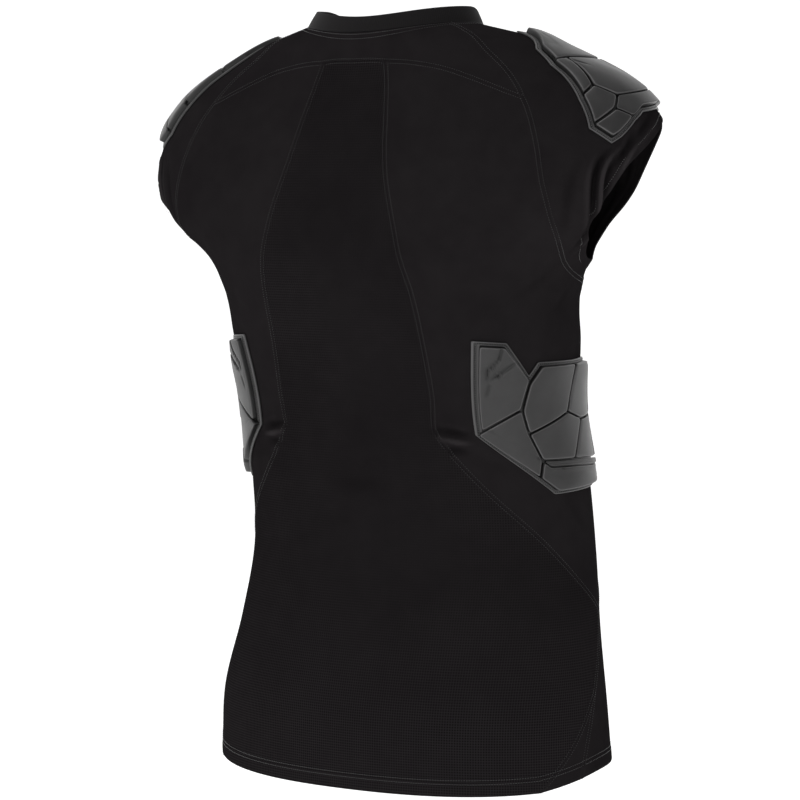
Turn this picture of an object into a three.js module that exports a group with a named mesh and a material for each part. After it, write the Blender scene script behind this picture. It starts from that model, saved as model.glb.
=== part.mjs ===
// Padded compression shirt, built in millimetres with +Z up.
// The chest faces -Y and the wearer's left arm is at +X.
// The origin is midway between the shoulders at the height of the neck points.
// Each cloth piece is a closed wall laid on one body form, 0.3 mm from its neighbours.
import * as THREE from "three";

// Wall and gap sizes
const CLOTH_WALL = 1.5;
const COLLAR_WALL = 2.4;
const SEAM_GAP = 0.34;
const COLLAR_HEIGHT = 18;
const COLLAR_LEAN = 26;
const NECK_TILT = 10;

// How far the hem hangs lower in the middle of the back, and rises past the front gusset seams
const HEM_DIP = 4;
const HEM_RISE = 6;

// Pad sizes
const PAD_CLEARANCE = 0.55;
const PAD_FLANGE = 1.6;
const PAD_BLOCK = 7.4;
const PAD_BEVEL = 3.2;
const GROOVE_HALF = 1.7;

// Mesh spacing
const ROW_SPACING = 22;
const PAD_SAG = 0.3;
const BLOCK_SAG = 0.8;

// Turns a short table into rows with named columns.
function table(columns, rows) {
  return rows.map((row) => Object.fromEntries(columns.map((name, i) => [name, row[i]])));
}

// Body form: one row for each level below the neck points.
// half is half the width, back and front are the depths from the section's centre,
// power is how square the section is, shift moves its centre towards the back,
// and the two drops lower the middle of the back and of the front.
const FORM = table(
  ["level", "half", "back", "front", "power", "shift", "backDrop", "frontDrop"],
  [
    [-700, 201, 127, 120, 2.15, -1, 0, -4],
    [-630, 197, 123, 115, 2.15, 2, 0, -2],
    [-560, 184, 116, 105, 2.2, -9, 0, 0],
    [-490, 176, 110, 97, 2.2, -17, 0, 0],
    [-420, 173, 105, 102, 2.2, -7, 0, 0],
    [-350, 168, 98, 114, 2.25, 11, 0, 0],
    [-290, 173, 103, 119, 2.3, 21, 0, 0],
    [-245, 176, 112, 122, 2.3, 28, 0, 0],
    [-215, 190, 117, 126, 2.3, 32, 0, 0],
    [-185, 232, 121, 128, 2.3, 26, 0, 0],
    [-150, 257, 122, 131, 2.3, 19, 0, 2],
    [-115, 265, 118, 121, 2.2, 13, 0, 9],
    [-85, 256, 111, 109, 2.1, 10, 2, 19],
    [-55, 224, 100, 96, 2.0, 11, 5, 33],
    [-28, 169, 86, 87, 2.0, 18, 7, 50],
    [-13, 137, 78, 81, 2.0, 24, 8, 58],
    [0, 86, 68, 74, 2.0, 33, 9, 66],
  ],
);

// Seams on the wearer's left half, as level and angle.
// The angle is 0 at the middle of the back, 90 at the side and 180 at the middle of the front.
const SEAM_COLUMNS = ["level", "angle"];
const YOKE_MIDDLE = table(SEAM_COLUMNS, [
  [-30, 21.5],
  [-28, 11.5],
  [-28, 0],
]);
const YOKE_OUTER = table(SEAM_COLUMNS, [
  [-30, 21.5],
  [-33, 34.5],
  [-41, 48],
  [-52, 56],
  [-70, 65],
]);
const RAGLAN_BACK_TOP = table(SEAM_COLUMNS, [
  [0, 68],
  [-16, 65.5],
  [-43, 65.5],
  [-70, 65],
]);
const RAGLAN_BACK = table(SEAM_COLUMNS, [
  [-70, 65],
  [-107, 65],
  [-150, 66.5],
  [-187, 72],
  [-211, 82],
  [-227, 93],
  [-236, 106],
]);
const RAGLAN_FRONT = table(SEAM_COLUMNS, [
  [0, 117],
  [-28, 121],
  [-60, 124],
  [-100, 127],
  [-145, 130],
  [-185, 130.5],
  [-210, 127],
  [-229, 117],
  [-236, 106],
]);
const BACK_SEAM = table(SEAM_COLUMNS, [
  [-30, 21.5],
  [-78, 22],
  [-130, 24],
  [-185, 30],
  [-240, 37],
  [-288, 40.5],
  [-340, 43],
  [-368, 42],
]);
const WAIST_SEAM = table(SEAM_COLUMNS, [
  [-368, 42],
  [-384, 45.5],
  [-421, 56],
  [-464, 70],
  [-506, 83.5],
  [-541, 98],
]);
const FRONT_SEAM = table(SEAM_COLUMNS, [
  [-236, 106],
  [-262, 113],
  [-292, 118],
  [-335, 123],
  [-385, 125],
  [-430, 122],
  [-480, 114],
  [-541, 98],
]);
const SIDE_SEAM = table(SEAM_COLUMNS, [
  [-541, 98],
  [-577, 94.5],
  [-610, 90],
]);
const GUSSET_BACK = table(SEAM_COLUMNS, [
  [-610, 90],
  [-655, 80],
  [-696, 69],
]);
const GUSSET_FRONT = table(SEAM_COLUMNS, [
  [-610, 90],
  [-653, 85],
  [-687, 81.5],
]);
const CUFF_BACK = table(SEAM_COLUMNS, [
  [-222, 106],
  [-220, 98],
  [-212, 90.5],
  [-199, 84],
  [-186, 80],
  [-165, 79],
  [-134, 81],
  [-110, 86.5],
  [-94, 92],
]);
const CUFF_TOP = table(SEAM_COLUMNS, [
  [-94, 92],
  [-89, 95.5],
  [-91, 99.5],
]);
const CUFF_FRONT = table(SEAM_COLUMNS, [
  [-91, 99.5],
  [-110, 107],
  [-137, 114],
  [-166, 118],
  [-187, 120],
  [-206, 118],
  [-218, 112.5],
  [-222, 106],
]);

// Corners of the pads, as name, level and angle, and the blocks between the flex grooves.
// Names that start with "edge" lie on the pad's outline, in order round it.
const RIB_CORNERS = table(
  ["name", "level", "angle"],
  [
    ["edgeTopBack", -286, 57],
    ["edgeTopNotch", -288, 67.5],
    ["edgeNotch", -318, 74.5],
    ["edgeTopStep", -306, 77.5],
    ["edgeTopMiddle", -306, 94],
    ["edgeTopFront", -305, 106],
    ["edgeFrontHigh", -318, 112.5],
    ["edgeFront", -350, 116],
    ["edgeFrontLow", -399, 117.5],
    ["edgeLowFront", -424, 109],
    ["edgeLowest", -428, 78],
    ["edgeLowBack", -415, 73],
    ["edgeBack", -372, 56.5],
    ["spineHigh", -348, 71.5],
    ["spineMiddle", -371, 72.5],
    ["spineLow", -396, 75],
    ["ribHigh", -353, 87.5],
    ["ribMiddle", -361, 95],
    ["ribFront", -360, 106],
    ["lowMiddle", -397, 87],
    ["lowFront", -400, 104],
  ],
);
const RIB_BLOCKS = [
  ["edgeTopBack", "edgeTopNotch", "edgeNotch", "spineHigh", "edgeBack"],
  ["edgeBack", "spineHigh", "spineMiddle", "spineLow", "edgeLowBack"],
  ["edgeNotch", "edgeTopStep", "edgeTopMiddle", "ribHigh", "spineMiddle", "spineHigh"],
  ["spineMiddle", "ribHigh", "ribMiddle", "lowMiddle", "spineLow"],
  ["edgeTopMiddle", "edgeTopFront", "ribFront", "ribMiddle", "ribHigh"],
  ["edgeTopFront", "edgeFrontHigh", "edgeFront", "ribFront"],
  ["ribMiddle", "ribFront", "lowFront", "lowMiddle"],
  ["ribFront", "edgeFront", "edgeFrontLow", "lowFront"],
  [
    "edgeLowBack",
    "spineLow",
    "lowMiddle",
    "lowFront",
    "edgeFrontLow",
    "edgeLowFront",
    "edgeLowest",
  ],
];
const SHOULDER_CORNERS = table(
  ["name", "level", "angle"],
  [
    ["edgeNeck", -8, 91],
    ["edgeBackHigh", -27, 79.5],
    ["edgeBackOne", -42, 76.5],
    ["edgeBackTwo", -51, 75.5],
    ["edgeBackThree", -74, 74],
    ["edgeBackFour", -99, 74.5],
    ["edgeBackLow", -112, 78],
    ["edgeBackTip", -106, 80],
    ["edgeBackStep", -92, 83.5],
    ["edgeArmBack", -84, 86.5],
    ["edgeArm", -80, 94],
    ["edgeArmFront", -83, 101],
    ["edgeFrontStep", -94, 107.5],
    ["edgeFrontTip", -104, 112],
    ["edgeFrontLow", -106, 116.5],
    ["edgeFrontFour", -93, 119],
    ["edgeFrontThree", -72, 116],
    ["edgeFrontTwo", -52, 111.5],
    ["edgeFrontOne", -40, 108.5],
    ["edgeFrontHigh", -29, 105],
    ["capBack", -39, 81.5],
    ["capMiddle", -40, 93],
    ["capFront", -39, 102.5],
    ["backHigh", -64, 79],
    ["backMiddle", -73, 82],
    ["armMiddle", -67, 94],
    ["backLow", -84, 80],
    ["frontHigh", -61, 106.5],
    ["frontMiddle", -69, 102],
    ["frontLow", -83, 109],
  ],
);
const SHOULDER_BLOCKS = [
  ["edgeNeck", "edgeBackHigh", "edgeBackOne", "capBack", "capMiddle"],
  ["edgeNeck", "capMiddle", "capFront", "edgeFrontOne", "edgeFrontHigh"],
  ["capBack", "backHigh", "backMiddle", "armMiddle", "capMiddle"],
  ["capMiddle", "armMiddle", "frontMiddle", "frontHigh", "capFront"],
  ["edgeBackOne", "edgeBackTwo", "edgeBackThree", "backHigh", "capBack"],
  ["edgeFrontOne", "capFront", "frontHigh", "edgeFrontThree", "edgeFrontTwo"],
  ["edgeBackThree", "edgeBackFour", "backLow", "backMiddle", "backHigh"],
  ["edgeFrontThree", "frontHigh", "frontMiddle", "frontLow", "edgeFrontFour"],
  ["edgeBackFour", "edgeBackLow", "edgeBackTip", "edgeBackStep", "backLow"],
  ["edgeFrontFour", "frontLow", "edgeFrontStep", "edgeFrontTip", "edgeFrontLow"],
  ["backLow", "edgeBackStep", "edgeArmBack", "edgeArm", "armMiddle", "backMiddle"],
  ["frontLow", "frontMiddle", "armMiddle", "edgeArm", "edgeArmFront", "edgeFrontStep"],
];

// Number of steps along each seam, shared by the pieces on both sides of it
const STEPS = {
  yokeMiddle: 3,
  yokeOuter: 5,
  raglanBackTop: 5,
  raglanBack: 11,
  raglanFront: 14,
  backSeam: 15,
  waistSeam: 10,
  frontSeam: 14,
  sideSeam: 3,
  gusset: 5,
  neckBack: 12,
  neckSleeve: 4,
  neckFront: 11,
  sleeveRings: 8,
};

const LEVELS = FORM.map((row) => row.level);

// Slope of one column at each row, from its two neighbours.
function slopesOf(name) {
  const steps = FORM.slice(1).map((row, i) => (row[name] - FORM[i][name]) / (row.level - FORM[i].level));
  const gaps = LEVELS.slice(1).map((level, i) => level - LEVELS[i]);
  return FORM.map((row, i) => {
    if (i === 0) return steps[0];
    if (i === FORM.length - 1) return steps[i - 1];
    return (steps[i - 1] * gaps[i] + steps[i] * gaps[i - 1]) / (gaps[i] + gaps[i - 1]);
  });
}
const SLOPES = Object.fromEntries(Object.keys(FORM[0]).map((name) => [name, slopesOf(name)]));

// Value of one column at any level, on a smooth curve through the rows.
function formValue(name, level) {
  let i = LEVELS.length - 2;
  while (i > 0 && LEVELS[i] > level) i -= 1;
  const gap = LEVELS[i + 1] - LEVELS[i];
  const t = (level - LEVELS[i]) / gap;
  const rise = t * t * (3 - 2 * t);
  const leave = t * (1 - t) * (1 - t) * gap;
  const arrive = t * t * (t - 1) * gap;
  const values = FORM[i][name] * (1 - rise) + FORM[i + 1][name] * rise;
  return values + leave * SLOPES[name][i] + arrive * SLOPES[name][i + 1];
}

// Point of the cloth's middle surface.
function clothPoint(angle, level) {
  const turn = THREE.MathUtils.degToRad(angle);
  const side = Math.sin(turn);
  const along = Math.cos(turn);
  const depth = formValue(along > 0 ? "back" : "front", level);
  const drop = formValue(along > 0 ? "backDrop" : "frontDrop", level);
  const power = formValue("power", level);
  const wide = Math.pow(Math.abs(side) / formValue("half", level), power);
  const deep = Math.pow(Math.abs(along) / depth, power);
  const reach = Math.pow(wide + deep, -1 / power);
  return new THREE.Vector3(
    reach * side,
    formValue("shift", level) + reach * along,
    level - drop * along * along,
  );
}

// A spot is a point of the middle surface with the direction out of the cloth.
function clothSpot(angle, level) {
  const point = clothPoint(angle, level);
  const above = clothPoint(angle, Math.min(level + 0.5, 0));
  const below = clothPoint(angle, Math.max(level - 0.5, -700));
  const up = above.sub(below);
  const round = clothPoint(angle + 0.1, level).sub(clothPoint(angle - 0.1, level));
  return { point, out: up.cross(round).normalize() };
}

// Smooth curve through a seam's rows, cut into equal steps along the cloth.
function seamSteps(rows, count) {
  const curve = new THREE.CatmullRomCurve3(
    rows.map((row) => new THREE.Vector3(row.angle * 3, row.level, 0)),
    false,
    "centripetal",
  );
  const fine = 120;
  const samples = [];
  for (let i = 0; i <= fine; i += 1) {
    const place = curve.getPoint(i / fine);
    samples.push({ angle: place.x / 3, level: place.y });
  }
  return evenSteps(samples, count);
}

// Picks count + 1 places at equal distances along a line of places.
function evenSteps(samples, count) {
  const points = samples.map((place) => clothPoint(place.angle, place.level));
  const lengths = [0];
  for (let i = 1; i < points.length; i += 1) {
    lengths.push(lengths[i - 1] + points[i].distanceTo(points[i - 1]));
  }
  const total = lengths[lengths.length - 1];
  const picked = [];
  for (let k = 0; k <= count; k += 1) {
    const wanted = (total * k) / count;
    let i = 1;
    while (i < lengths.length - 1 && lengths[i] < wanted) i += 1;
    const share = (wanted - lengths[i - 1]) / (lengths[i] - lengths[i - 1]);
    const from = samples[i - 1];
    const to = samples[i];
    picked.push({
      angle: from.angle + share * (to.angle - from.angle),
      level: from.level + share * (to.level - from.level),
    });
  }
  return picked;
}

// Places from one end to the other across a piece, bent by the given function.
function rowBetween(from, to, count, bend = () => 0) {
  const fine = 48;
  const samples = [];
  for (let i = 0; i <= fine; i += 1) {
    const s = i / fine;
    samples.push({
      angle: from.angle + s * (to.angle - from.angle),
      level: from.level + s * (to.level - from.level) + bend(s),
    });
  }
  return evenSteps(samples, count);
}

// Number of steps that a row needs to keep the mesh spacing.
function rowCount(from, to) {
  const middle = { angle: (from.angle + to.angle) / 2, level: (from.level + to.level) / 2 };
  const places = [from, middle, to].map((place) => clothPoint(place.angle, place.level));
  const length = places[0].distanceTo(places[1]) + places[1].distanceTo(places[2]);
  return Math.max(1, Math.round((length * 1.08) / ROW_SPACING));
}

const spotsOf = (places) => places.map((place) => clothSpot(place.angle, place.level));
const mirrored = (place) => ({ angle: -place.angle, level: place.level });
const acrossFront = (place) => ({ angle: 360 - place.angle, level: place.level });
const chain = (...parts) => parts.flatMap((part, i) => (i ? part.slice(1) : part));

const seams = {
  yokeMiddle: seamSteps(YOKE_MIDDLE, STEPS.yokeMiddle),
  yokeOuter: seamSteps(YOKE_OUTER, STEPS.yokeOuter),
  raglanBackTop: seamSteps(RAGLAN_BACK_TOP, STEPS.raglanBackTop),
  raglanBack: seamSteps(RAGLAN_BACK, STEPS.raglanBack),
  raglanFront: seamSteps(RAGLAN_FRONT, STEPS.raglanFront),
  back: seamSteps(BACK_SEAM, STEPS.backSeam),
  waist: seamSteps(WAIST_SEAM, STEPS.waistSeam),
  front: seamSteps(FRONT_SEAM, STEPS.frontSeam),
  side: seamSteps(SIDE_SEAM, STEPS.sideSeam),
  gussetBack: seamSteps(GUSSET_BACK, STEPS.gusset),
  gussetFront: seamSteps(GUSSET_FRONT, STEPS.gusset),
};

// Faces between two rows of vertex numbers, taking the shorter diagonal each time.
function facesBetween(upper, lower, spots, faces) {
  let i = 0;
  let j = 0;
  while (i < upper.length - 1 || j < lower.length - 1) {
    const canUpper = i < upper.length - 1;
    const canLower = j < lower.length - 1;
    let goUpper = canUpper;
    if (canUpper && canLower) {
      const diagonalUpper = spots[upper[i + 1]].point.distanceTo(spots[lower[j]].point);
      const diagonalLower = spots[upper[i]].point.distanceTo(spots[lower[j + 1]].point);
      goUpper = diagonalUpper <= diagonalLower;
    }
    if (goUpper) {
      faces.push([upper[i], upper[i + 1], lower[j]]);
      i += 1;
    } else {
      faces.push([upper[i], lower[j + 1], lower[j]]);
      j += 1;
    }
  }
}

// Moves each spot of a boundary loop into its piece by half the seam gap.
function insetLoop(loop, spots, moved) {
  loop.forEach((number, i) => {
    const here = spots[number];
    const before = spots[loop[(i + loop.length - 1) % loop.length]].point;
    const after = spots[loop[(i + 1) % loop.length]].point;
    const arriving = here.point.clone().sub(before).normalize();
    const leaving = after.clone().sub(here.point).normalize();
    const first = here.out.clone().cross(arriving).normalize();
    const second = here.out.clone().cross(leaving).normalize();
    const spread = Math.max(0.12, 1 + first.dot(second));
    const move = first.add(second).multiplyScalar(SEAM_GAP / 2 / spread);
    moved[number] = here.point.clone().add(move);
  });
}

// Closed wall from rows of spots. An open piece has one edge all round,
// and a ring has one edge at its first row and one at its last.
function wallGeometry(rows, ring, thickness) {
  const spots = rows.flat();
  let next = 0;
  const numbers = rows.map((row) => row.map(() => next++));
  const faces = [];
  for (let r = 1; r < numbers.length; r += 1) {
    const close = (row) => (ring ? [...row, row[0]] : row);
    if (ring) {
      const upper = close(numbers[r - 1]);
      const lower = close(numbers[r]);
      for (let i = 0; i < upper.length - 1; i += 1) {
        const short = spots[upper[i + 1]].point.distanceTo(spots[lower[i]].point);
        const long = spots[upper[i]].point.distanceTo(spots[lower[i + 1]].point);
        if (short <= long) {
          faces.push([upper[i], upper[i + 1], lower[i]]);
          faces.push([upper[i + 1], lower[i + 1], lower[i]]);
        } else {
          faces.push([upper[i], upper[i + 1], lower[i + 1]]);
          faces.push([upper[i], lower[i + 1], lower[i]]);
        }
      }
    } else {
      facesBetween(numbers[r - 1], numbers[r], spots, faces);
    }
  }
  const last = numbers.length - 1;
  const loops = ring
    ? [numbers[0], [...numbers[last]].reverse()]
    : [
        [
          ...numbers[0],
          ...numbers.slice(1).map((row) => row[row.length - 1]),
          ...numbers[last].slice(0, -1).reverse(),
          ...numbers.slice(1, last).reverse().map((row) => row[0]),
        ],
      ];
  const moved = spots.map((spot) => spot.point);
  loops.forEach((loop) => insetLoop(loop, spots, moved));
  const positions = [];
  for (const half of [thickness / 2, -thickness / 2]) {
    spots.forEach((spot, i) => {
      positions.push(...moved[i].clone().addScaledVector(spot.out, half).toArray());
    });
  }
  const inner = spots.length;
  const index = [];
  for (const [a, b, c] of faces) {
    index.push(a, b, c, inner + a, inner + c, inner + b);
  }
  for (const loop of loops) {
    loop.forEach((a, i) => {
      const b = loop[(i + 1) % loop.length];
      index.push(b, a, inner + a, b, inner + a, inner + b);
    });
  }
  return geometryFrom(positions, index);
}

function geometryFrom(positions, index) {
  const geometry = new THREE.BufferGeometry();
  geometry.setAttribute("position", new THREE.Float32BufferAttribute(positions, 3));
  geometry.setIndex(index);
  geometry.computeVertexNormals();
  return geometry;
}

// The same geometry on the other side of the body.
function mirrorGeometry(geometry) {
  const positions = Array.from(geometry.attributes.position.array);
  for (let i = 0; i < positions.length; i += 3) positions[i] = -positions[i];
  const index = Array.from(geometry.index.array);
  for (let i = 0; i < index.length; i += 3) {
    const kept = index[i + 1];
    index[i + 1] = index[i + 2];
    index[i + 2] = kept;
  }
  return geometryFrom(positions, index);
}

// Cloth pieces

// Yoke across the upper back, from the neckline to the seam over the shoulder blades.
function yokeRows() {
  const sides = seams.raglanBackTop;
  const lowest = chain([...seams.yokeOuter].reverse(), seams.yokeMiddle);
  const bottom = chain(lowest.map(mirrored), [...lowest].reverse());
  const last = sides.length - 1;
  return sides.map((side, k) => {
    if (k === last) return spotsOf(bottom);
    const share = k / last;
    const bend = (s) => share * share * (yokeLevel(Math.abs(2 * s - 1)) - sides[last].level);
    const count = k === 0 ? STEPS.neckBack : rowCount(mirrored(side), side) + 2;
    if (k === 0) return spotsOf(neckPlaces(-68, 68, count));
    return spotsOf(rowBetween(mirrored(side), side, count, bend));
  });
}

// Level of the yoke seam at a share of its half width.
function yokeLevel(share) {
  const angle = share * 65;
  const line = [...YOKE_OUTER].reverse().concat(YOKE_MIDDLE.slice(1));
  for (let i = 1; i < line.length; i += 1) {
    if (angle >= line[i].angle) {
      const part = (angle - line[i].angle) / (line[i - 1].angle - line[i].angle);
      return line[i].level + part * (line[i - 1].level - line[i].level);
    }
  }
  return line[line.length - 1].level;
}

// Places on the neckline, at equal steps of angle.
function neckPlaces(from, to, count) {
  const places = [];
  for (let i = 0; i <= count; i += 1) {
    places.push({ angle: from + ((to - from) * i) / count, level: 0 });
  }
  return places;
}

// Back piece, from the yoke seam between the two back seams down to the hem.
function backRows() {
  const edge = chain(seams.back, seams.waist, seams.side, seams.gussetBack);
  const top = chain(seams.yokeMiddle.map(mirrored), [...seams.yokeMiddle].reverse());
  return edge.map((side, k) => {
    if (k === 0) return spotsOf(top);
    const low = Math.max(0, 1 - (edge.length - 1 - k) / STEPS.gusset);
    const dip = (s) => HEM_DIP * low * low * (1 - Math.pow(2 * s - 1, 4));
    const bend = (s) => 3 * Math.max(0, 1 - k / 4) * (1 - Math.abs(2 * s - 1)) - dip(s);
    return spotsOf(rowBetween(mirrored(side), side, rowCount(mirrored(side), side), bend));
  });
}

// Side piece, from the yoke and the armhole down to its point at the side seam.
function sideRows() {
  const backEdge = chain(seams.back, seams.waist);
  const frontEdge = chain(seams.raglanBack, seams.front);
  const last = backEdge.length - 1;
  return backEdge.map((from, k) => {
    if (k === 0) return spotsOf(seams.yokeOuter);
    if (k === last) return spotsOf([from]);
    const to = frontEdge[k];
    const bend = (s) => 9 * Math.max(0, 1 - k / 5) * 4 * s * (1 - s);
    return spotsOf(rowBetween(from, to, rowCount(from, to), bend));
  });
}

// Front piece, in one from the neckline to the hem.
function frontRows() {
  const edge = chain(seams.raglanFront, seams.front, seams.side, seams.gussetFront);
  return edge.map((side, k) => {
    if (k === 0) return spotsOf(neckPlaces(117, 243, STEPS.neckFront));
    const far = acrossFront(side);
    const low = Math.max(0, 1 - (edge.length - 1 - k) / STEPS.gusset);
    const near = (s) => Math.min(1, Math.min(s, 1 - s) / 0.08);
    const bend = (s) => HEM_RISE * low * low * (1 - Math.pow(1 - near(s), 2));
    return spotsOf(rowBetween(side, far, rowCount(side, far), bend));
  });
}

// Small wedge let into the side seam above the hem.
function gussetRows() {
  return seams.gussetBack.map((from, k) => {
    if (k === 0) return spotsOf([from]);
    const to = seams.gussetFront[k];
    return spotsOf(rowBetween(from, to, rowCount(from, to)));
  });
}

// Raglan cap sleeve, in rings from the armhole seam and neckline out to the cuff.
function sleeveRows() {
  const outer = chain(
    [...seams.raglanBack].reverse(),
    [...seams.raglanBackTop].reverse(),
    neckPlaces(68, 117, STEPS.neckSleeve),
    seams.raglanFront,
  ).slice(0, -1);
  const cuff = chain(
    seamSteps(CUFF_BACK, STEPS.raglanBack + STEPS.raglanBackTop),
    seamSteps(CUFF_TOP, STEPS.neckSleeve),
    seamSteps(CUFF_FRONT, STEPS.raglanFront),
  ).slice(0, -1);
  const lines = outer.map((from, i) => rowBetween(from, cuff[i], STEPS.sleeveRings));
  const rings = [];
  for (let r = 0; r <= STEPS.sleeveRings; r += 1) {
    rings.push(spotsOf(lines.map((line) => line[r])));
  }
  return rings;
}

// Stand-up rib collar on the neckline.
function collarRows() {
  const places = chain(
    neckPlaces(-68, 68, STEPS.neckBack),
    neckPlaces(68, 117, STEPS.neckSleeve),
    neckPlaces(117, 243, STEPS.neckFront),
    neckPlaces(243, 292, STEPS.neckSleeve),
  ).slice(0, -1);
  const tilt = THREE.MathUtils.degToRad(NECK_TILT);
  const lean = THREE.MathUtils.degToRad(COLLAR_LEAN);
  const axis = new THREE.Vector3(0, -Math.sin(tilt), Math.cos(tilt));
  const rings = [];
  for (const share of [1, 0.5, 0]) {
    const ring = places.map((place) => {
      const turn = THREE.MathUtils.degToRad(place.angle);
      const radial = new THREE.Vector3(Math.sin(turn), Math.cos(turn), 0);
      const rise = axis.clone().multiplyScalar(Math.cos(lean));
      rise.addScaledVector(radial, -Math.sin(lean)).normalize();
      const foot = clothPoint(place.angle, 0);
      const slope = foot.clone().sub(clothPoint(place.angle, -1)).normalize();
      const bent = 1 - Math.pow(slope.dot(rise), 2);
      const start = 0.95 * bent;
      const height = start + share * (COLLAR_HEIGHT - start);
      const round = clothPoint(place.angle + 0.1, 0).sub(clothPoint(place.angle - 0.1, 0));
      const out = rise.clone().cross(round).normalize();
      return { point: foot.addScaledVector(rise, height), out };
    });
    rings.push(ring);
  }
  return rings;
}

// Pads

// Moves each corner of a loop into it, by the distance that each side asks for.
// Distances are in millimetres on the cloth, so angles and levels are scaled at each corner.
function insetPlaces(loop, distances) {
  return loop.map((here, i) => {
    const before = loop[(i + loop.length - 1) % loop.length];
    const after = loop[(i + 1) % loop.length];
    const point = clothPoint(here.angle, here.level);
    const perAngle = clothPoint(here.angle + 0.5, here.level).distanceTo(point) * 2;
    const perLevel = clothPoint(here.angle, here.level - 1).distanceTo(point);
    const side = (from, to) => {
      const x = (to.angle - from.angle) * perAngle;
      const y = (to.level - from.level) * perLevel;
      const length = Math.hypot(x, y);
      return { x: y / length, y: -x / length };
    };
    const first = side(before, here);
    const second = side(here, after);
    const one = distances[(i + loop.length - 1) % loop.length];
    const two = distances[i];
    const cross = first.x * second.y - first.y * second.x;
    let x = (first.x * one + second.x * two) / 2;
    let y = (first.y * one + second.y * two) / 2;
    if (Math.abs(cross) > 0.2) {
      x = (one * second.y - two * first.y) / cross;
      y = (two * first.x - one * second.x) / cross;
    }
    return { angle: here.angle + x / perAngle, level: here.level + y / perLevel };
  });
}

// Area of a loop in the plane of angle and level, positive when it runs anticlockwise.
function loopArea(loop) {
  let area = 0;
  loop.forEach((here, i) => {
    const after = loop[(i + 1) % loop.length];
    area += (here.angle * after.level - after.angle * here.level) / 2;
  });
  return area;
}

// Moulded pad on the cloth: a flange all over, with bevelled blocks between grooves.
function padGeometry(corners, blocks, flange) {
  const named = Object.fromEntries(corners.map((corner) => [corner.name, corner]));
  const outline = corners.filter((corner) => corner.name.startsWith("edge"));
  if (loopArea(outline) > 0) outline.reverse();
  const order = outline.map((corner) => corner.name);
  const onEdge = (a, b) => {
    const from = order.indexOf(a);
    const to = order.indexOf(b);
    if (from < 0 || to < 0) return false;
    const apart = Math.abs(from - to);
    return apart === 1 || apart === order.length - 1;
  };
  const nodes = [];
  const faces = [];
  const addLoop = (loop, height) =>
    loop.map((place) => nodes.push({ angle: place.angle, level: place.level, height }) - 1);
  const addFlat = (contour, holes, facingOut) => {
    const flat = (loop) => loop.map((n) => new THREE.Vector2(nodes[n].angle * 3, nodes[n].level));
    const all = [contour, ...holes].flat();
    for (const [a, b, c] of THREE.ShapeUtils.triangulateShape(flat(contour), holes.map(flat))) {
      const [p, q, r] = [all[a], all[b], all[c]];
      const turns = loopArea([nodes[p], nodes[q], nodes[r]]) > 0;
      if (turns === facingOut) faces.push([p, r, q]);
      else faces.push([p, q, r]);
    }
  };
  const addBand = (lower, upper) => {
    lower.forEach((a, i) => {
      const b = lower[(i + 1) % lower.length];
      const c = upper[(i + 1) % upper.length];
      faces.push([a, b, c], [a, c, upper[i]]);
    });
  };
  const base = addLoop(outline, 0);
  const rim = addLoop(outline, PAD_FLANGE);
  addBand(base, rim);
  addFlat(base, [], false);
  const feet = blocks.map((names) => {
    const loop = names.map((name) => named[name]);
    if (loopArea(loop) > 0) loop.reverse();
    const sides = loop.map((corner, i) => {
      const after = loop[(i + 1) % loop.length];
      return onEdge(corner.name, after.name) ? flange(corner.name, after.name) : GROOVE_HALF;
    });
    const footPlaces = insetPlaces(loop, sides);
    const foot = addLoop(footPlaces, PAD_FLANGE);
    const shoulder = addLoop(insetPlaces(footPlaces, sides.map(() => PAD_BEVEL * 0.3)), PAD_BLOCK - 1.6);
    const top = addLoop(insetPlaces(footPlaces, sides.map(() => PAD_BEVEL)), PAD_BLOCK);
    addBand(foot, shoulder);
    addBand(shoulder, top);
    addFlat(top, [], true);
    return foot;
  });
  addFlat(rim, feet.map((foot) => [...foot].reverse()), true);
  return refinedGeometry(nodes, faces);
}

// Point on a pad, at a height above the cloth.
function padPoint(node) {
  const spot = clothSpot(node.angle, node.level);
  return spot.point.addScaledVector(spot.out, CLOTH_WALL / 2 + PAD_CLEARANCE + node.height);
}

// Splits edges in the middle until the mesh follows the curved cloth.
function refinedGeometry(nodes, startFaces) {
  let faces = startFaces;
  const points = nodes.map(padPoint);
  // Adds the middle of an edge when the edge leaves the curved form by more than the sag allowed.
  const addMiddle = (a, b) => {
    const node = {
      angle: (nodes[a].angle + nodes[b].angle) / 2,
      level: (nodes[a].level + nodes[b].level) / 2,
      height: (nodes[a].height + nodes[b].height) / 2,
    };
    const point = padPoint(node);
    const spot = clothSpot(node.angle, node.level);
    const chord = points[a].clone().add(points[b]).multiplyScalar(0.5);
    const sag = Math.abs(point.clone().sub(chord).dot(spot.out));
    if (sag <= (node.height > PAD_FLANGE ? BLOCK_SAG : PAD_SAG)) return -1;
    points.push(point);
    return nodes.push(node) - 1;
  };
  for (let round = 0; round < 6; round += 1) {
    const middles = new Map();
    const middleOf = (a, b) => {
      const key = a < b ? `${a} ${b}` : `${b} ${a}`;
      if (!middles.has(key)) middles.set(key, addMiddle(a, b));
      return middles.get(key);
    };
    faces = faces.flatMap(([a, b, c]) => splitFace(a, b, c, middleOf, points));
    if ([...middles.values()].every((n) => n < 0)) break;
  }
  return geometryFrom(points.flatMap((point) => point.toArray()), faces.flat());
}

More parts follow.
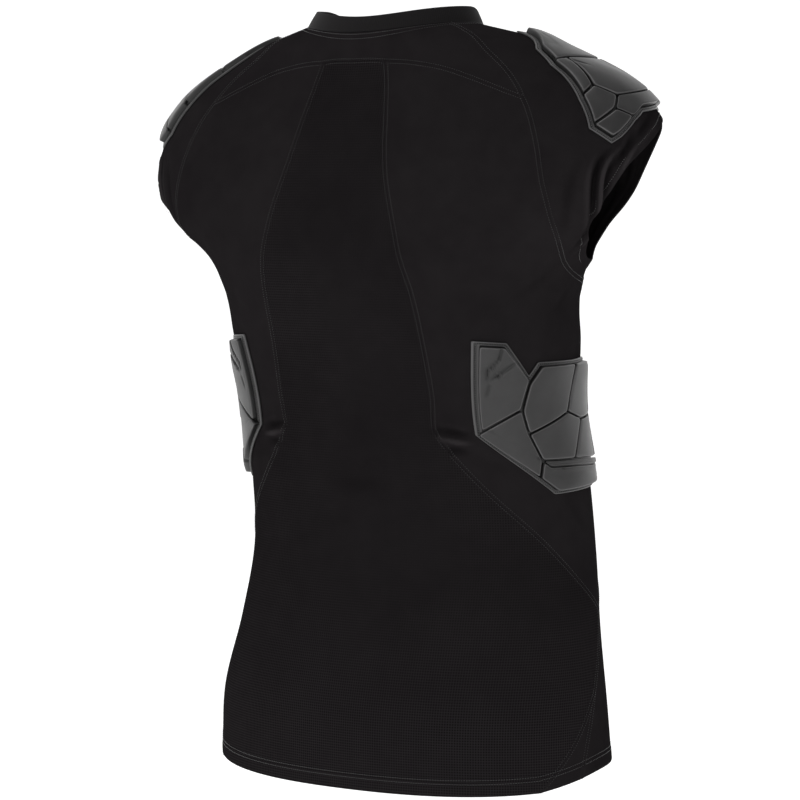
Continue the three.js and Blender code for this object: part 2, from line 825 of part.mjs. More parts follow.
// One face cut at the middles that its edges were given.
function splitFace(a, b, c, middleOf, points) {
  const ab = middleOf(a, b);
  const bc = middleOf(b, c);
  const ca = middleOf(c, a);
  const cuts = [ab, bc, ca].filter((n) => n >= 0).length;
  if (cuts === 0) return [[a, b, c]];
  if (cuts === 3) return [[a, ab, ca], [ab, b, bc], [ca, bc, c], [ab, bc, ca]];
  if (cuts === 1) {
    if (ab >= 0) return [[a, ab, c], [ab, b, c]];
    if (bc >= 0) return [[a, b, bc], [a, bc, c]];
    return [[a, b, ca], [ca, b, c]];
  }
  const quad = (tip, one, two, far, near) => {
    const straight = points[one].distanceTo(points[near]);
    const crossed = points[two].distanceTo(points[far]);
    if (straight <= crossed) return [[tip, one, two], [one, far, near], [one, near, two]];
    return [[tip, one, two], [one, far, two], [far, near, two]];
  };
  if (ca < 0) return quad(b, bc, ab, c, a);
  if (ab < 0) return quad(c, ca, bc, a, b);
  return quad(a, ab, ca, b, c);
}

const CLOTH = new THREE.MeshStandardMaterial({ color: 0x1c1b1d, roughness: 0.7 });
const MESH_CLOTH = new THREE.MeshStandardMaterial({ color: 0x222124, roughness: 0.8 });
const RIB = new THREE.MeshStandardMaterial({ color: 0x19181a, roughness: 0.85 });
const FOAM = new THREE.MeshStandardMaterial({ color: 0x47474a, roughness: 0.45 });

const shirt = new THREE.Group();
shirt.name = "padded_compression_shirt";

function addPiece(name, geometry, material) {
  const mesh = new THREE.Mesh(geometry, material);
  mesh.name = name;
  shirt.add(mesh);
}

function addPair(name, geometry, material) {
  addPiece(`${name}_left`, geometry, material);
  addPiece(`${name}_right`, mirrorGeometry(geometry), material);
}

addPiece("collar", wallGeometry(collarRows(), true, COLLAR_WALL), RIB);
addPiece("back_yoke", wallGeometry(yokeRows(), false, CLOTH_WALL), CLOTH);
addPiece("back_panel", wallGeometry(backRows(), false, CLOTH_WALL), MESH_CLOTH);
addPiece("front_panel", wallGeometry(frontRows(), false, CLOTH_WALL), CLOTH);
addPair("side_panel", wallGeometry(sideRows(), false, CLOTH_WALL), CLOTH);
addPair("sleeve", wallGeometry(sleeveRows(), true, CLOTH_WALL), CLOTH);
addPair("hem_gusset", wallGeometry(gussetRows(), false, CLOTH_WALL), CLOTH);

// The back edge of the rib pad has the widest flange, as the photo shows.
const ribFlange = (a, b) => ([a, b].sort().join() === "edgeBack,edgeTopBack" ? 8 : 3.6);
addPair("rib_pad", padGeometry(RIB_CORNERS, RIB_BLOCKS, ribFlange), FOAM);
addPair("shoulder_pad", padGeometry(SHOULDER_CORNERS, SHOULDER_BLOCKS, () => 5), FOAM);

export default shirt;
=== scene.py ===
"""Padded compression shirt: fine cloth, seams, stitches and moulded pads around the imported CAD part.

Everything is laid on one body form. At each level below the neck points the form's section is
    reach = (|sin a / half|^p + |cos a / depth|^p)^(-1/p)
where a is the angle round the body from the middle of the back, and half, depth and p come from
the section table. Between its rows each column of the table runs on a smooth cubic. The middle of
the back and of the front hang lower near the neck by drop * cos(a)^2.
A cloth piece is a grid of points on this form between its two side edges, moved out along the
form's normal by the cloth's half thickness and its relief: welts at seams, hems and soft creases.
The hem dips in the middle of the back and rises past the gussets on the front.
A pad has a border, which is a closed profile carried along its outline, a thin floor inside it, and
raised blocks with grooves between them. A block is a stack of rings that step in from its foot, up
its wall and over its edge to a slightly crowned middle. Stitches are small faceted grains in rows.
The wearer's left is +X, the chest faces -Y and +Z is up. Tables are in millimetres and degrees.
"""

import math

import bpy
import numpy as np
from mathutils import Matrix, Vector


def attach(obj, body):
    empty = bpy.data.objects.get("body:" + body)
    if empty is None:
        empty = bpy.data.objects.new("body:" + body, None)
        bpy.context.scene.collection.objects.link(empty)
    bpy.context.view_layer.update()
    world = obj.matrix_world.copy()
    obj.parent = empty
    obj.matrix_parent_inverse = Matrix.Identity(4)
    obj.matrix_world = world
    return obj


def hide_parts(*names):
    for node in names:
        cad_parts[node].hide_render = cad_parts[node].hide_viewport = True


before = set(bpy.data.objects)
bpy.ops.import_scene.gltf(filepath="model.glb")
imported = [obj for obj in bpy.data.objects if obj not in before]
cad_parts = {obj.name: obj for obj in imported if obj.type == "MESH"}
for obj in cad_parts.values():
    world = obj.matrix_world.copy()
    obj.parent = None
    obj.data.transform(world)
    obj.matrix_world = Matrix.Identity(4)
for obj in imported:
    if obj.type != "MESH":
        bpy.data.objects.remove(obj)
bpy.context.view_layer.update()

MM = 0.001

# Camera and view

CAMERA_PLACE = (-1.481, 2.3701, -0.1591)
CAMERA_AIM = (0.0112, 0.008, -0.3498)
CAMERA_LENS = 133.2


def make_camera():
    data = bpy.data.cameras.new("photo_camera")
    data.lens = CAMERA_LENS
    data.sensor_width = 36.0
    data.clip_end = 30.0
    camera = bpy.data.objects.new("photo_camera", data)
    camera.location = CAMERA_PLACE
    away = Vector(CAMERA_AIM) - Vector(CAMERA_PLACE)
    camera.rotation_euler = away.to_track_quat("-Z", "Y").to_euler()
    bpy.context.scene.collection.objects.link(camera)
    bpy.context.scene.camera = camera


make_camera()

# Body form and seam tables

# level, half width, back depth, front depth, power, shift, back drop, front drop
FORM = np.array(
    [
        [-700, 201, 127, 120, 2.15, -1, 0, -4],
        [-630, 197, 123, 115, 2.15, 2, 0, -2],
        [-560, 184, 116, 105, 2.2, -9, 0, 0],
        [-490, 176, 110, 97, 2.2, -17, 0, 0],
        [-420, 173, 105, 102, 2.2, -7, 0, 0],
        [-350, 168, 98, 114, 2.25, 11, 0, 0],
        [-290, 173, 103, 119, 2.3, 21, 0, 0],
        [-245, 176, 112, 122, 2.3, 28, 0, 0],
        [-215, 190, 117, 126, 2.3, 32, 0, 0],
        [-185, 232, 121, 128, 2.3, 26, 0, 0],
        [-150, 257, 122, 131, 2.3, 19, 0, 2],
        [-115, 265, 118, 121, 2.2, 13, 0, 9],
        [-85, 256, 111, 109, 2.1, 10, 2, 19],
        [-55, 224, 100, 96, 2.0, 11, 5, 33],
        [-28, 169, 86, 87, 2.0, 18, 7, 50],
        [-13, 137, 78, 81, 2.0, 24, 8, 58],
        [0, 86, 68, 74, 2.0, 33, 9, 66],
    ],
    dtype=float,
)
LEVELS = FORM[:, 0]

# Each seam row is level, angle, on the wearer's left half
YOKE_MIDDLE = [(-30, 21.5), (-28, 11.5), (-28, 0)]
YOKE_OUTER = [(-30, 21.5), (-33, 34.5), (-41, 48), (-52, 56), (-70, 65)]
RAGLAN_BACK_TOP = [(0, 68), (-16, 65.5), (-43, 65.5), (-70, 65)]
RAGLAN_BACK = [(-70, 65), (-107, 65), (-150, 66.5), (-187, 72), (-211, 82), (-227, 93), (-236, 106)]
RAGLAN_FRONT = [
    (0, 117),
    (-28, 121),
    (-60, 124),
    (-100, 127),
    (-145, 130),
    (-185, 130.5),
    (-210, 127),
    (-229, 117),
    (-236, 106),
]
BACK_SEAM = [
    (-30, 21.5),
    (-78, 22),
    (-130, 24),
    (-185, 30),
    (-240, 37),
    (-288, 40.5),
    (-340, 43),
    (-368, 42),
]
WAIST_SEAM = [(-368, 42), (-384, 45.5), (-421, 56), (-464, 70), (-506, 83.5), (-541, 98)]
FRONT_SEAM = [
    (-236, 106),
    (-262, 113),
    (-292, 118),
    (-335, 123),
    (-385, 125),
    (-430, 122),
    (-480, 114),
    (-541, 98),
]
SIDE_SEAM = [(-541, 98), (-577, 94.5), (-610, 90)]
GUSSET_BACK = [(-610, 90), (-655, 80), (-696, 69)]
GUSSET_FRONT = [(-610, 90), (-653, 85), (-687, 81.5)]
CUFF_BACK = [
    (-215, 106),
    (-213.5, 98),
    (-207, 90.5),
    (-196.5, 84),
    (-186, 80),
    (-165, 79),
    (-134, 81),
    (-110, 86.5),
    (-94, 92),
]
CUFF_TOP = [(-94, 92), (-89, 95.5), (-91, 99.5)]
CUFF_FRONT = [
    (-91, 99.5),
    (-110, 107),
    (-137, 114),
    (-166, 118),
    (-187, 120),
    (-202, 118),
    (-211.5, 112.5),
    (-215, 106),
]

# Pad corners as level, angle, and the blocks between the flex grooves
RIB_CORNERS = {
    "edgeTopBack": (-286, 57),
    "edgeTopNotch": (-288, 67.5),
    "edgeNotch": (-318, 74.5),
    "edgeTopStep": (-306, 77.5),
    "edgeTopMiddle": (-306, 94),
    "edgeTopFront": (-305, 106),
    "edgeFrontHigh": (-318, 112.5),
    "edgeFront": (-350, 116),
    "edgeFrontLow": (-399, 117.5),
    "edgeLowFront": (-424, 109),
    "edgeLowest": (-428, 78),
    "edgeLowBack": (-415, 73),
    "edgeBack": (-372, 56.5),
    "spineHigh": (-348, 71.5),
    "spineMiddle": (-371, 72.5),
    "spineLow": (-396, 75),
    "ribHigh": (-353, 87.5),
    "ribMiddle": (-361, 95),
    "ribFront": (-360, 106),
    "lowMiddle": (-397, 87),
    "lowFront": (-400, 104),
    "bandBack": (-402, 77),
    "bandMiddle": (-403, 87),
    "bandFront": (-406, 104.5),
}
RIB_BLOCKS = [
    ["edgeTopBack", "edgeTopNotch", "edgeNotch", "spineHigh", "edgeBack"],
    ["edgeBack", "spineHigh", "spineMiddle", "spineLow", "edgeLowBack"],
    ["edgeNotch", "edgeTopStep", "edgeTopMiddle", "ribHigh", "spineMiddle", "spineHigh"],
    ["spineMiddle", "ribHigh", "ribMiddle", "lowMiddle", "spineLow"],
    ["edgeTopMiddle", "edgeTopFront", "ribFront", "ribMiddle", "ribHigh"],
    ["edgeTopFront", "edgeFrontHigh", "edgeFront", "ribFront"],
    ["ribMiddle", "ribFront", "lowFront", "lowMiddle"],
    ["ribFront", "edgeFront", "edgeFrontLow", "lowFront"],
    ["spineLow", "lowMiddle", "lowFront", "bandFront", "bandMiddle", "bandBack"],
    [
        "edgeLowBack",
        "spineLow",
        "bandBack",
        "bandMiddle",
        "bandFront",
        "edgeFrontLow",
        "edgeLowFront",
        "edgeLowest",
    ],
]
SHOULDER_CORNERS = {
    "edgeNeck": (-10, 88.5),
    "edgeBackHigh": (-27, 79.5),
    "edgeBackOne": (-42, 76.5),
    "edgeBackTwo": (-51, 76.2),
    "edgeBackThree": (-74, 75),
    "edgeBackFour": (-99, 74.5),
    "edgeBackLow": (-112, 78),
    "edgeBackTip": (-106, 80),
    "edgeBackStep": (-92, 83.5),
    "edgeArmBack": (-84, 86.5),
    "edgeArm": (-80, 94),
    "edgeArmFront": (-83, 101),
    "edgeFrontStep": (-94, 107.5),
    "edgeFrontTip": (-104, 112),
    "edgeFrontLow": (-106, 116.5),
    "edgeFrontFour": (-93, 119),
    "edgeFrontThree": (-72, 116),
    "edgeFrontTwo": (-52, 111.5),
    "edgeFrontOne": (-40, 108.5),
    "edgeFrontHigh": (-29, 105),
    "edgeNeckFront": (-12, 96.5),
    "capBack": (-39, 81.5),
    "capMiddle": (-40, 93),
    "capFront": (-39, 102.5),
    "backHigh": (-64, 79),
    "backMiddle": (-73, 82),
    "armMiddle": (-67, 94),
    "backLow": (-84, 80),
    "frontHigh": (-61, 106.5),
    "frontMiddle": (-69, 102),
    "frontLow": (-83, 109),
}
SHOULDER_BLOCKS = [
    ["edgeNeck", "edgeBackHigh", "edgeBackOne", "capBack", "capMiddle", "edgeNeckFront"],
    ["edgeNeckFront", "capMiddle", "capFront", "edgeFrontOne", "edgeFrontHigh"],
    ["capBack", "backHigh", "backMiddle", "armMiddle", "capMiddle"],
    ["capMiddle", "armMiddle", "frontMiddle", "frontHigh", "capFront"],
    ["edgeBackOne", "edgeBackTwo", "edgeBackThree", "backHigh", "capBack"],
    ["edgeFrontOne", "capFront", "frontHigh", "edgeFrontThree", "edgeFrontTwo"],
    ["edgeBackThree", "edgeBackFour", "backLow", "backMiddle", "backHigh"],
    ["edgeFrontThree", "frontHigh", "frontMiddle", "frontLow", "edgeFrontFour"],
    ["edgeBackFour", "edgeBackLow", "edgeBackTip", "edgeBackStep", "backLow"],
    ["edgeFrontFour", "frontLow", "edgeFrontStep", "edgeFrontTip", "edgeFrontLow"],
    ["backLow", "edgeBackStep", "edgeArmBack", "edgeArm", "armMiddle", "backMiddle"],
    ["frontLow", "frontMiddle", "armMiddle", "edgeArm", "edgeArmFront", "edgeFrontStep"],
]

# Sizes in millimetres
OUTER_OFFSET = 0.65
INNER_OFFSET = -0.6
GRID_STEP = 3.2
HEM_DIP = 4.0
HEM_RISE = 6.0
CUFF_INSET = 7.4
COLLAR_HEIGHT = 18.0
COLLAR_HALF = 1.2
COLLAR_LEAN = math.radians(26)
NECK_TILT = math.radians(10)
PAD_LIFT = 1.25
PAD_FLOOR = 3.2
PAD_BLOCK = 6.6
GROOVE_HALF = 0.6

# Shape functions


def slopes_of(values):
    steps = np.diff(values) / np.diff(LEVELS)
    gaps = np.diff(LEVELS)
    slopes = np.empty_like(values)
    slopes[0] = steps[0]
    slopes[-1] = steps[-1]
    slopes[1:-1] = (steps[:-1] * gaps[1:] + steps[1:] * gaps[:-1]) / (gaps[1:] + gaps[:-1])
    return slopes


SLOPES = np.stack([slopes_of(FORM[:, c]) for c in range(FORM.shape[1])], axis=1)


def form_at(level):
    """All columns of the form at an array of levels."""
    level = np.clip(level, LEVELS[0], LEVELS[-1])
    low = np.clip(np.searchsorted(LEVELS, level, side="right") - 1, 0, len(LEVELS) - 2)
    gap = LEVELS[low + 1] - LEVELS[low]
    t = (level - LEVELS[low]) / gap
    rise = t * t * (3 - 2 * t)
    leave = t * (1 - t) ** 2 * gap
    arrive = t * t * (t - 1) * gap
    columns = []
    for c in range(1, FORM.shape[1]):
        value = FORM[low, c] * (1 - rise) + FORM[low + 1, c] * rise
        value = value + leave * SLOPES[low, c] + arrive * SLOPES[low + 1, c]
        columns.append(value)
    return columns


def cloth_points(angle, level):
    """Points of the cloth's middle surface, in millimetres."""
    half, back, front, power, shift, back_drop, front_drop = form_at(level)
    turn = np.radians(angle)
    side = np.sin(turn)
    along = np.cos(turn)
    depth = np.where(along > 0, back, front)
    drop = np.where(along > 0, back_drop, front_drop)
    reach = (np.abs(side / half) ** power + np.abs(along / depth) ** power) ** (-1 / power)
    return np.stack([reach * side, shift + reach * along, level - drop * along**2], axis=-1)


def unit(vectors):
    return vectors / np.maximum(np.linalg.norm(vectors, axis=-1, keepdims=True), 1e-12)


def cloth_normals(angle, level):
    upper = np.minimum(level + 0.5, LEVELS[-1])
    lower = np.maximum(level - 0.5, LEVELS[0])
    up = cloth_points(angle, upper) - cloth_points(angle, lower)
    around = cloth_points(angle + 0.1, level) - cloth_points(angle - 0.1, level)
    return unit(np.cross(up, around))


def smooth_curve(rows, fine=160):
    """Dense places (angle, level) on a centripetal curve through a seam's rows."""
    points = np.array([(angle * 3.0, level) for level, angle in rows], dtype=float)
    first = 2 * points[0] - points[1]
    last = 2 * points[-1] - points[-2]
    points = np.vstack([first, points, last])
    spans = len(rows) - 1
    places = []
    for k in range(fine + 1):
        position = k / fine * spans
        i = min(int(position), spans - 1)
        t = position - i
        a, b, c, d = points[i : i + 4]
        ab = math.sqrt(np.linalg.norm(b - a))
        bc = math.sqrt(np.linalg.norm(c - b))
        cd = math.sqrt(np.linalg.norm(d - c))
        start = ((b - a) / ab - (c - a) / (ab + bc) + (c - b) / bc) * bc
        end = ((c - b) / bc - (d - b) / (bc + cd) + (d - c) / cd) * bc
        square = t * t
        cube = square * t
        place = b * (2 * cube - 3 * square + 1) + start * (cube - 2 * square + t)
        place = place + c * (3 * square - 2 * cube) + end * (cube - square)
        places.append((place[0] / 3.0, place[1]))
    return np.array(places)


def lengths_along(places):
    points = cloth_points(places[..., 0], places[..., 1])
    steps = np.linalg.norm(np.diff(points, axis=-2), axis=-1)
    start = np.zeros(steps.shape[:-1] + (1,))
    return np.concatenate([start, np.cumsum(steps, axis=-1)], axis=-1)


def seam_at(rows, shares):
    """Places on a seam at shares of its length."""
    places = smooth_curve(rows)
    lengths = lengths_along(places)
    wanted = np.asarray(shares) * lengths[-1]
    angle = np.interp(wanted, lengths, places[:, 0])
    level = np.interp(wanted, lengths, places[:, 1])
    return np.stack([angle, level], axis=-1)


def chain_at(parts, positions):
    """Places on a chain of seams. Each part is a seam and its number of steps."""
    positions = np.asarray(positions, dtype=float)
    result = np.zeros((len(positions), 2))
    start = 0.0
    for rows, steps in parts:
        inside = (positions >= start - 1e-9) & (positions <= start + steps + 1e-9)
        shares = (positions[inside] - start) / steps
        result[inside] = seam_at(rows, np.clip(shares, 0, 1))
        start += steps
    return result


def reverse(parts):
    return [(list(reversed(rows)), steps) for rows, steps in reversed(parts)]


def graded(total, step, edge=(0.7, 1.5, 2.4, 3.6, 5.2, 7.6)):
    """Distances from one side to the other, closer together near both sides."""
    edge = np.array(edge)
    if total < 3.2 * edge[-1]:
        edge = edge * total / (3.2 * edge[-1])
    inner = total - 2 * edge[-1]
    count = max(2, int(round(inner / step)))
    middle = np.linspace(edge[-1], total - edge[-1], count + 1)
    return np.concatenate([[0.0], edge[:-1], middle, total - edge[:-1][::-1], [total]])


def cross_row(left, right, shares, bend=None):
    """Places across a piece at shares of the row's length on the cloth."""
    s = np.linspace(0, 1, 65)
    places = left + s[:, None] * (right - left)
    if bend is not None:
        places[:, 1] += bend(s)
    lengths = lengths_along(places)
    wanted = shares * lengths[-1]
    angle = np.interp(wanted, lengths, places[:, 0])
    level = np.interp(wanted, lengths, places[:, 1])
    return np.stack([angle, level], axis=-1), wanted, lengths[-1]


class Grid:
    """Places of a cloth piece with each place's distance from the piece's four edges."""

    def __init__(self, places, left, right, top, bottom):
        self.angle = places[..., 0]
        self.level = places[..., 1]
        self.left = left
        self.right = right
        self.top = top
        self.bottom = bottom


def grid_between(left_edge, right_edge, positions, step_length, bend=None):
    """Grid between two chains of seams, with a row for each position along them."""
    left = chain_at(left_edge, positions)
    right = chain_at(right_edge, positions)
    widest = 0.0
    for k in range(len(positions)):
        ends = np.stack([left[k], (left[k] + right[k]) / 2, right[k]])
        widest = max(widest, lengths_along(ends)[-1])
    template = graded(widest, GRID_STEP)
    shares = template / widest
    places = []
    from_left = []
    from_right = []
    for k in range(len(positions)):
        curve = None if bend is None else (lambda s, k=k: bend(positions[k], s))
        row, distance, total = cross_row(left[k], right[k], shares, curve)
        places.append(row)
        from_left.append(distance)
        from_right.append(total - distance)
    along = np.asarray(positions) * step_length
    top = np.repeat(along[:, None], len(shares), axis=1)
    bottom = along[-1] - top
    return Grid(np.array(places), np.array(from_left), np.array(from_right), top, bottom)


def row_positions(steps, step_length):
    return graded(steps * step_length, GRID_STEP) / step_length


# Relief of the cloth

# Creases as level, angle to level, angle, with depth and half width; a minus depth is a ridge
SLEEVE_CREASES = [
    (-117, 77.8, -142, 71.4, -206, 83.5, 4.4, 3.2),
    (-117, 79.2, -143, 71.8, -206, 85.5, -2.6, 2.6),
    (-119, 80.2, -143, 73.7, -202, 85.2, 3.2, 2.8),
    (-83, 89.5, -103, 83.0, -120, 81.2, 3.0, 3.2),
    (-97, 83.0, -112, 81.4, -130, 79.4, 2.4, 3.0),
    (-97, 86.4, -119, 77.4, -190, 81.0, -2.4, 2.8),
    (-124, 73.0, -150, 69.0, -196, 75.0, 1.6, 5.5),
    (-110, 118.0, -150, 123.0, -205, 122.0, 1.6, 6.0),
    (-100, 112.0, -130, 117.0, -170, 121.5, 1.5, 5.0),
    (-160, 127.0, -190, 124.0, -219, 116.0, 1.0, 7.0),
]
BODY_CREASES = [
    (-368, 42.0, -371, 48.0, -374, 55.0, 3.0, 3.6),
    (-374, 44.0, -378, 50.0, -380, 56.0, -1.6, 4.0),
    (-386, 46.0, -387, 49.0, -388, 53.0, 2.2, 3.2),
    (-392, 50.0, -397, 58.0, -404, 66.0, 0.7, 7.0),
    (-222, 82.0, -236, 78.0, -246, 71.0, 0.9, 5.0),
    (-232, 95.0, -248, 92.0, -264, 84.0, 1.0, 5.0),
    (-240, 108.0, -254, 112.0, -264, 118.0, 0.9, 5.0),
    (-436, 84.0, -452, 88.0, -466, 93.0, 0.8, 7.0),
    (-370, 136.0, -376, 148.0, -378, 162.0, 0.7, 8.0),
    (-392, 130.0, -404, 142.0, -412, 156.0, 0.6, 8.0),
    (-418, 22.0, -424, 8.0, -420, -10.0, 0.6, 9.0),
    (-450, 34.0, -458, 18.0, -456, 2.0, 0.5, 10.0),
]


def crease_relief(points, creases, mirror):
    """Depth of soft troughs and ridges at points in millimetres."""
    relief = np.zeros(points.shape[:-1])
    for row in creases:
        *places, depth, width = row
        ends = np.array(places, dtype=float).reshape(3, 2)[:, ::-1]
        t = np.linspace(0, 1, 15)[:, None]
        curve = ends[0] * (1 - t) ** 2 + 2 * ends[1] * t * (1 - t) + ends[2] * t**2
        for sign in (1, -1):
            if sign == -1 and not mirror:
                continue
            line = cloth_points(curve[:, 0] * sign, curve[:, 1])
            nearest = np.full(points.shape[:-1], 1e9)
            share = np.zeros(points.shape[:-1])
            for i in range(len(line) - 1):
                span = line[i + 1] - line[i]
                part = ((points - line[i]) @ span) / (span @ span)
                part = np.clip(part, 0, 1)
                gap = np.linalg.norm(points - line[i] - part[..., None] * span, axis=-1)
                closer = gap < nearest
                nearest = np.where(closer, gap, nearest)
                share = np.where(closer, (i + part) / (len(line) - 1), share)
            fade = np.sin(np.pi * np.clip(share, 0.02, 0.98)) ** 0.6
            trough = np.exp(-((nearest / width) ** 2))
            shoulder = np.exp(-(((nearest - 1.9 * width) / width) ** 2))
            relief += depth * fade * (-trough + 0.35 * shoulder)
    return relief


def welt(distance, height=0.5, width=3.2):
    """Low ridge beside a seam, with a fine valley on the seam line itself."""
    ridge = height * np.exp(-((distance / width) ** 4))
    valley = 0.55 * height * np.exp(-((distance / 0.8) ** 2))
    return ridge - valley


def hem_step(distance, depth=12.0, height=0.45):
    """Extra thickness where an edge is folded under, rounded at the fold."""
    inside = 0.5 - 0.5 * np.tanh((distance - depth) / 1.0)
    rounding = 0.5 * np.exp(-((distance / 0.9) ** 2))
    return height * inside - rounding


# Mesh making


def make_object(name, points, faces, material, uvs=None, values=None, sharp=50):
    """Mesh object in metres. faces is a list of arrays with 3 or 4 corners a row."""
    mesh = bpy.data.meshes.new(name)
    counts = np.concatenate([np.full(len(f), f.shape[1]) for f in faces])
    corners = np.concatenate([f.reshape(-1) for f in faces])
    starts = np.concatenate([[0], np.cumsum(counts)[:-1]])
    mesh.vertices.add(len(points))
    mesh.vertices.foreach_set("co", (points * MM).astype(np.float32).reshape(-1))
    mesh.loops.add(len(corners))
    mesh.loops.foreach_set("vertex_index", corners.astype(np.int32))
    mesh.polygons.add(len(counts))
    mesh.polygons.foreach_set("loop_start", starts.astype(np.int32))
    mesh.polygons.foreach_set("use_smooth", np.ones(len(counts), dtype=bool))
    if uvs is not None:
        layer = mesh.uv_layers.new(name="cloth")
        layer.data.foreach_set("uv", uvs[corners].astype(np.float32).reshape(-1))
    if values is not None:
        for key, data in values.items():
            attribute = mesh.attributes.new(key, "FLOAT", "POINT")
            attribute.data.foreach_set("value", data.astype(np.float32))
    mesh.update(calc_edges=True)
    mesh.validate()
    mesh.set_sharp_from_angle(angle=math.radians(sharp))
    mesh.materials.append(material)
    made = bpy.data.objects.new(name, mesh)
    bpy.context.scene.collection.objects.link(made)
    return made


def quad_faces(rows, columns, ring=False):
    r = np.arange(rows - 1)[:, None]
    c = np.arange(columns if ring else columns - 1)[None, :]
    after = (c + 1) % columns
    upper = r * columns
    lower = (r + 1) * columns
    faces = np.stack([upper + c, upper + after, lower + after, lower + c], axis=-1)
    return faces.reshape(-1, 4)


def border_of(rows, columns):
    """Numbers of the border points of a grid, once round."""
    top = np.arange(columns)
    right = np.arange(1, rows) * columns + columns - 1
    bottom = (rows - 1) * columns + np.arange(columns - 2, -1, -1)
    left = np.arange(rows - 2, 0, -1) * columns
    return np.concatenate([top, right, bottom, left])


def weld_ends(points, quads):
    """Makes the points of a pointed end one, and takes out the faces that are then flat.
    Gives the numbers of the points that stay, and the faces with four and with three corners."""
    _, first, same = np.unique(np.round(points, 3), axis=0, return_index=True, return_inverse=True)
    quads = same.reshape(-1)[quads]
    repeated = quads == np.roll(quads, -1, axis=1)
    repeats = repeated.sum(axis=1)
    narrow = repeats == 1
    triangles = quads[narrow][~repeated[narrow]].reshape(-1, 3)
    return first, [part for part in (quads[repeats == 0], triangles) if len(part)]


def shell_object(name, grid, relief, material, ring=False, flip=False, inner=INNER_OFFSET):
    """Closed thin shell on the form, with its outer face moved out by the relief."""
    angle = grid.angle
    level = grid.level
    rows, columns = angle.shape
    base = cloth_points(angle, level).reshape(-1, 3)
    normal = cloth_normals(angle, level).reshape(-1, 3)
    lift = relief.reshape(-1, 1)
    outer_points = base + normal * (OUTER_OFFSET + lift)
    inner_points = base + normal * (inner + np.minimum(lift, 0))
    count = rows * columns
    outer = quad_faces(rows, columns, ring)
    under = outer[:, ::-1] + count
    if ring:
        first = np.arange(columns)
        last = (rows - 1) * columns + np.arange(columns)[::-1]
        loops = [first, last]
    else:
        loops = [border_of(rows, columns)]
    rims = []
    for loop in loops:
        after = np.roll(loop, -1)
        rims.append(np.stack([after, loop, loop + count, after + count], axis=-1))
    points = np.vstack([outer_points, inner_points])
    faces = np.vstack([outer, under] + rims)
    if flip:
        points = points * np.array([-1, 1, 1])
        faces = faces[:, ::-1]
    across = (grid.left - grid.right) * 0.5 * MM
    uv = np.stack([across, level * MM], axis=-1).reshape(-1, 2)
    uvs = np.vstack([uv, uv])
    # The relief is also kept as an attribute; the knit material paints shade into its troughs and a
    # highlight onto its ridges.
    crease_shading_relief = np.concatenate([relief.reshape(-1), relief.reshape(-1)])
    stay, faces = weld_ends(points, faces)
    return make_object(name, points[stay], faces, material, uvs[stay], {"relief": crease_shading_relief[stay]})


# Materials

# Repeats of the knit in metres, on the cloth
WALE_PITCH = 0.0009
COURSE_PITCH = 0.0012
EYELET_PITCH = 0.0024
RIB_PITCH = 0.0019


def new_material(name):
    material = bpy.data.materials.new(name)
    material.use_nodes = True
    nodes = material.node_tree.nodes
    nodes.clear()
    output = nodes.new("ShaderNodeOutputMaterial")
    shader = nodes.new("ShaderNodeBsdfPrincipled")
    material.node_tree.links.new(shader.outputs["BSDF"], output.inputs["Surface"])
    return material, material.node_tree, shader


def math_node(tree, operation, first, second=None, third=None):
    node = tree.nodes.new("ShaderNodeMath")
    node.operation = operation
    for i, value in enumerate((first, second, third)):
        if value is None:
            continue
        if isinstance(value, (int, float)):
            node.inputs[i].default_value = value
        else:
            tree.links.new(value, node.inputs[i])
    return node.outputs[0]


def wave_node(tree, kind, value, pitch):
    """Sine or cosine of a value in metres, with the pitch as its wavelength."""
    return math_node(tree, kind, math_node(tree, "MULTIPLY", value, 2 * math.pi / pitch))


def sum_node(tree, first, first_share, second, second_share):
    """Two values added, each times its share."""
    one = math_node(tree, "MULTIPLY", first, first_share)
    two = math_node(tree, "MULTIPLY", second, second_share)
    return math_node(tree, "ADD", one, two)


def noise_node(tree, vector, scale, detail=3.0, roughness=0.55):
    node = tree.nodes.new("ShaderNodeTexNoise")
    node.inputs["Scale"].default_value = scale
    node.inputs["Detail"].default_value = detail
    node.inputs["Roughness"].default_value = roughness
    tree.links.new(vector, node.inputs["Vector"])
    return node.outputs["Fac"]


def range_node(tree, value, low, high, to_low, to_high):
    node = tree.nodes.new("ShaderNodeMapRange")
    node.inputs["From Min"].default_value = low
    node.inputs["From Max"].default_value = high
    node.inputs["To Min"].default_value = to_low
    node.inputs["To Max"].default_value = to_high
    tree.links.new(value, node.inputs["Value"])
    return node.outputs["Result"]


def mix_colour(tree, share, dark, light):
    node = tree.nodes.new("ShaderNodeMix")
    node.data_type = "RGBA"
    for socket, colour in ((node.inputs[6], dark), (node.inputs[7], light)):
        if isinstance(colour, tuple):
            socket.default_value = (*colour, 1.0)
        else:
            tree.links.new(colour, socket)
    tree.links.new(share, node.inputs[0])
    return node.outputs[2]


def bump_node(tree, height, strength, distance, before=None):
    node = tree.nodes.new("ShaderNodeBump")
    node.inputs["Strength"].default_value = strength
    node.inputs["Distance"].default_value = distance
    tree.links.new(height, node.inputs["Height"])
    if before is not None:
        tree.links.new(before, node.inputs["Normal"])
    return node.outputs["Normal"]


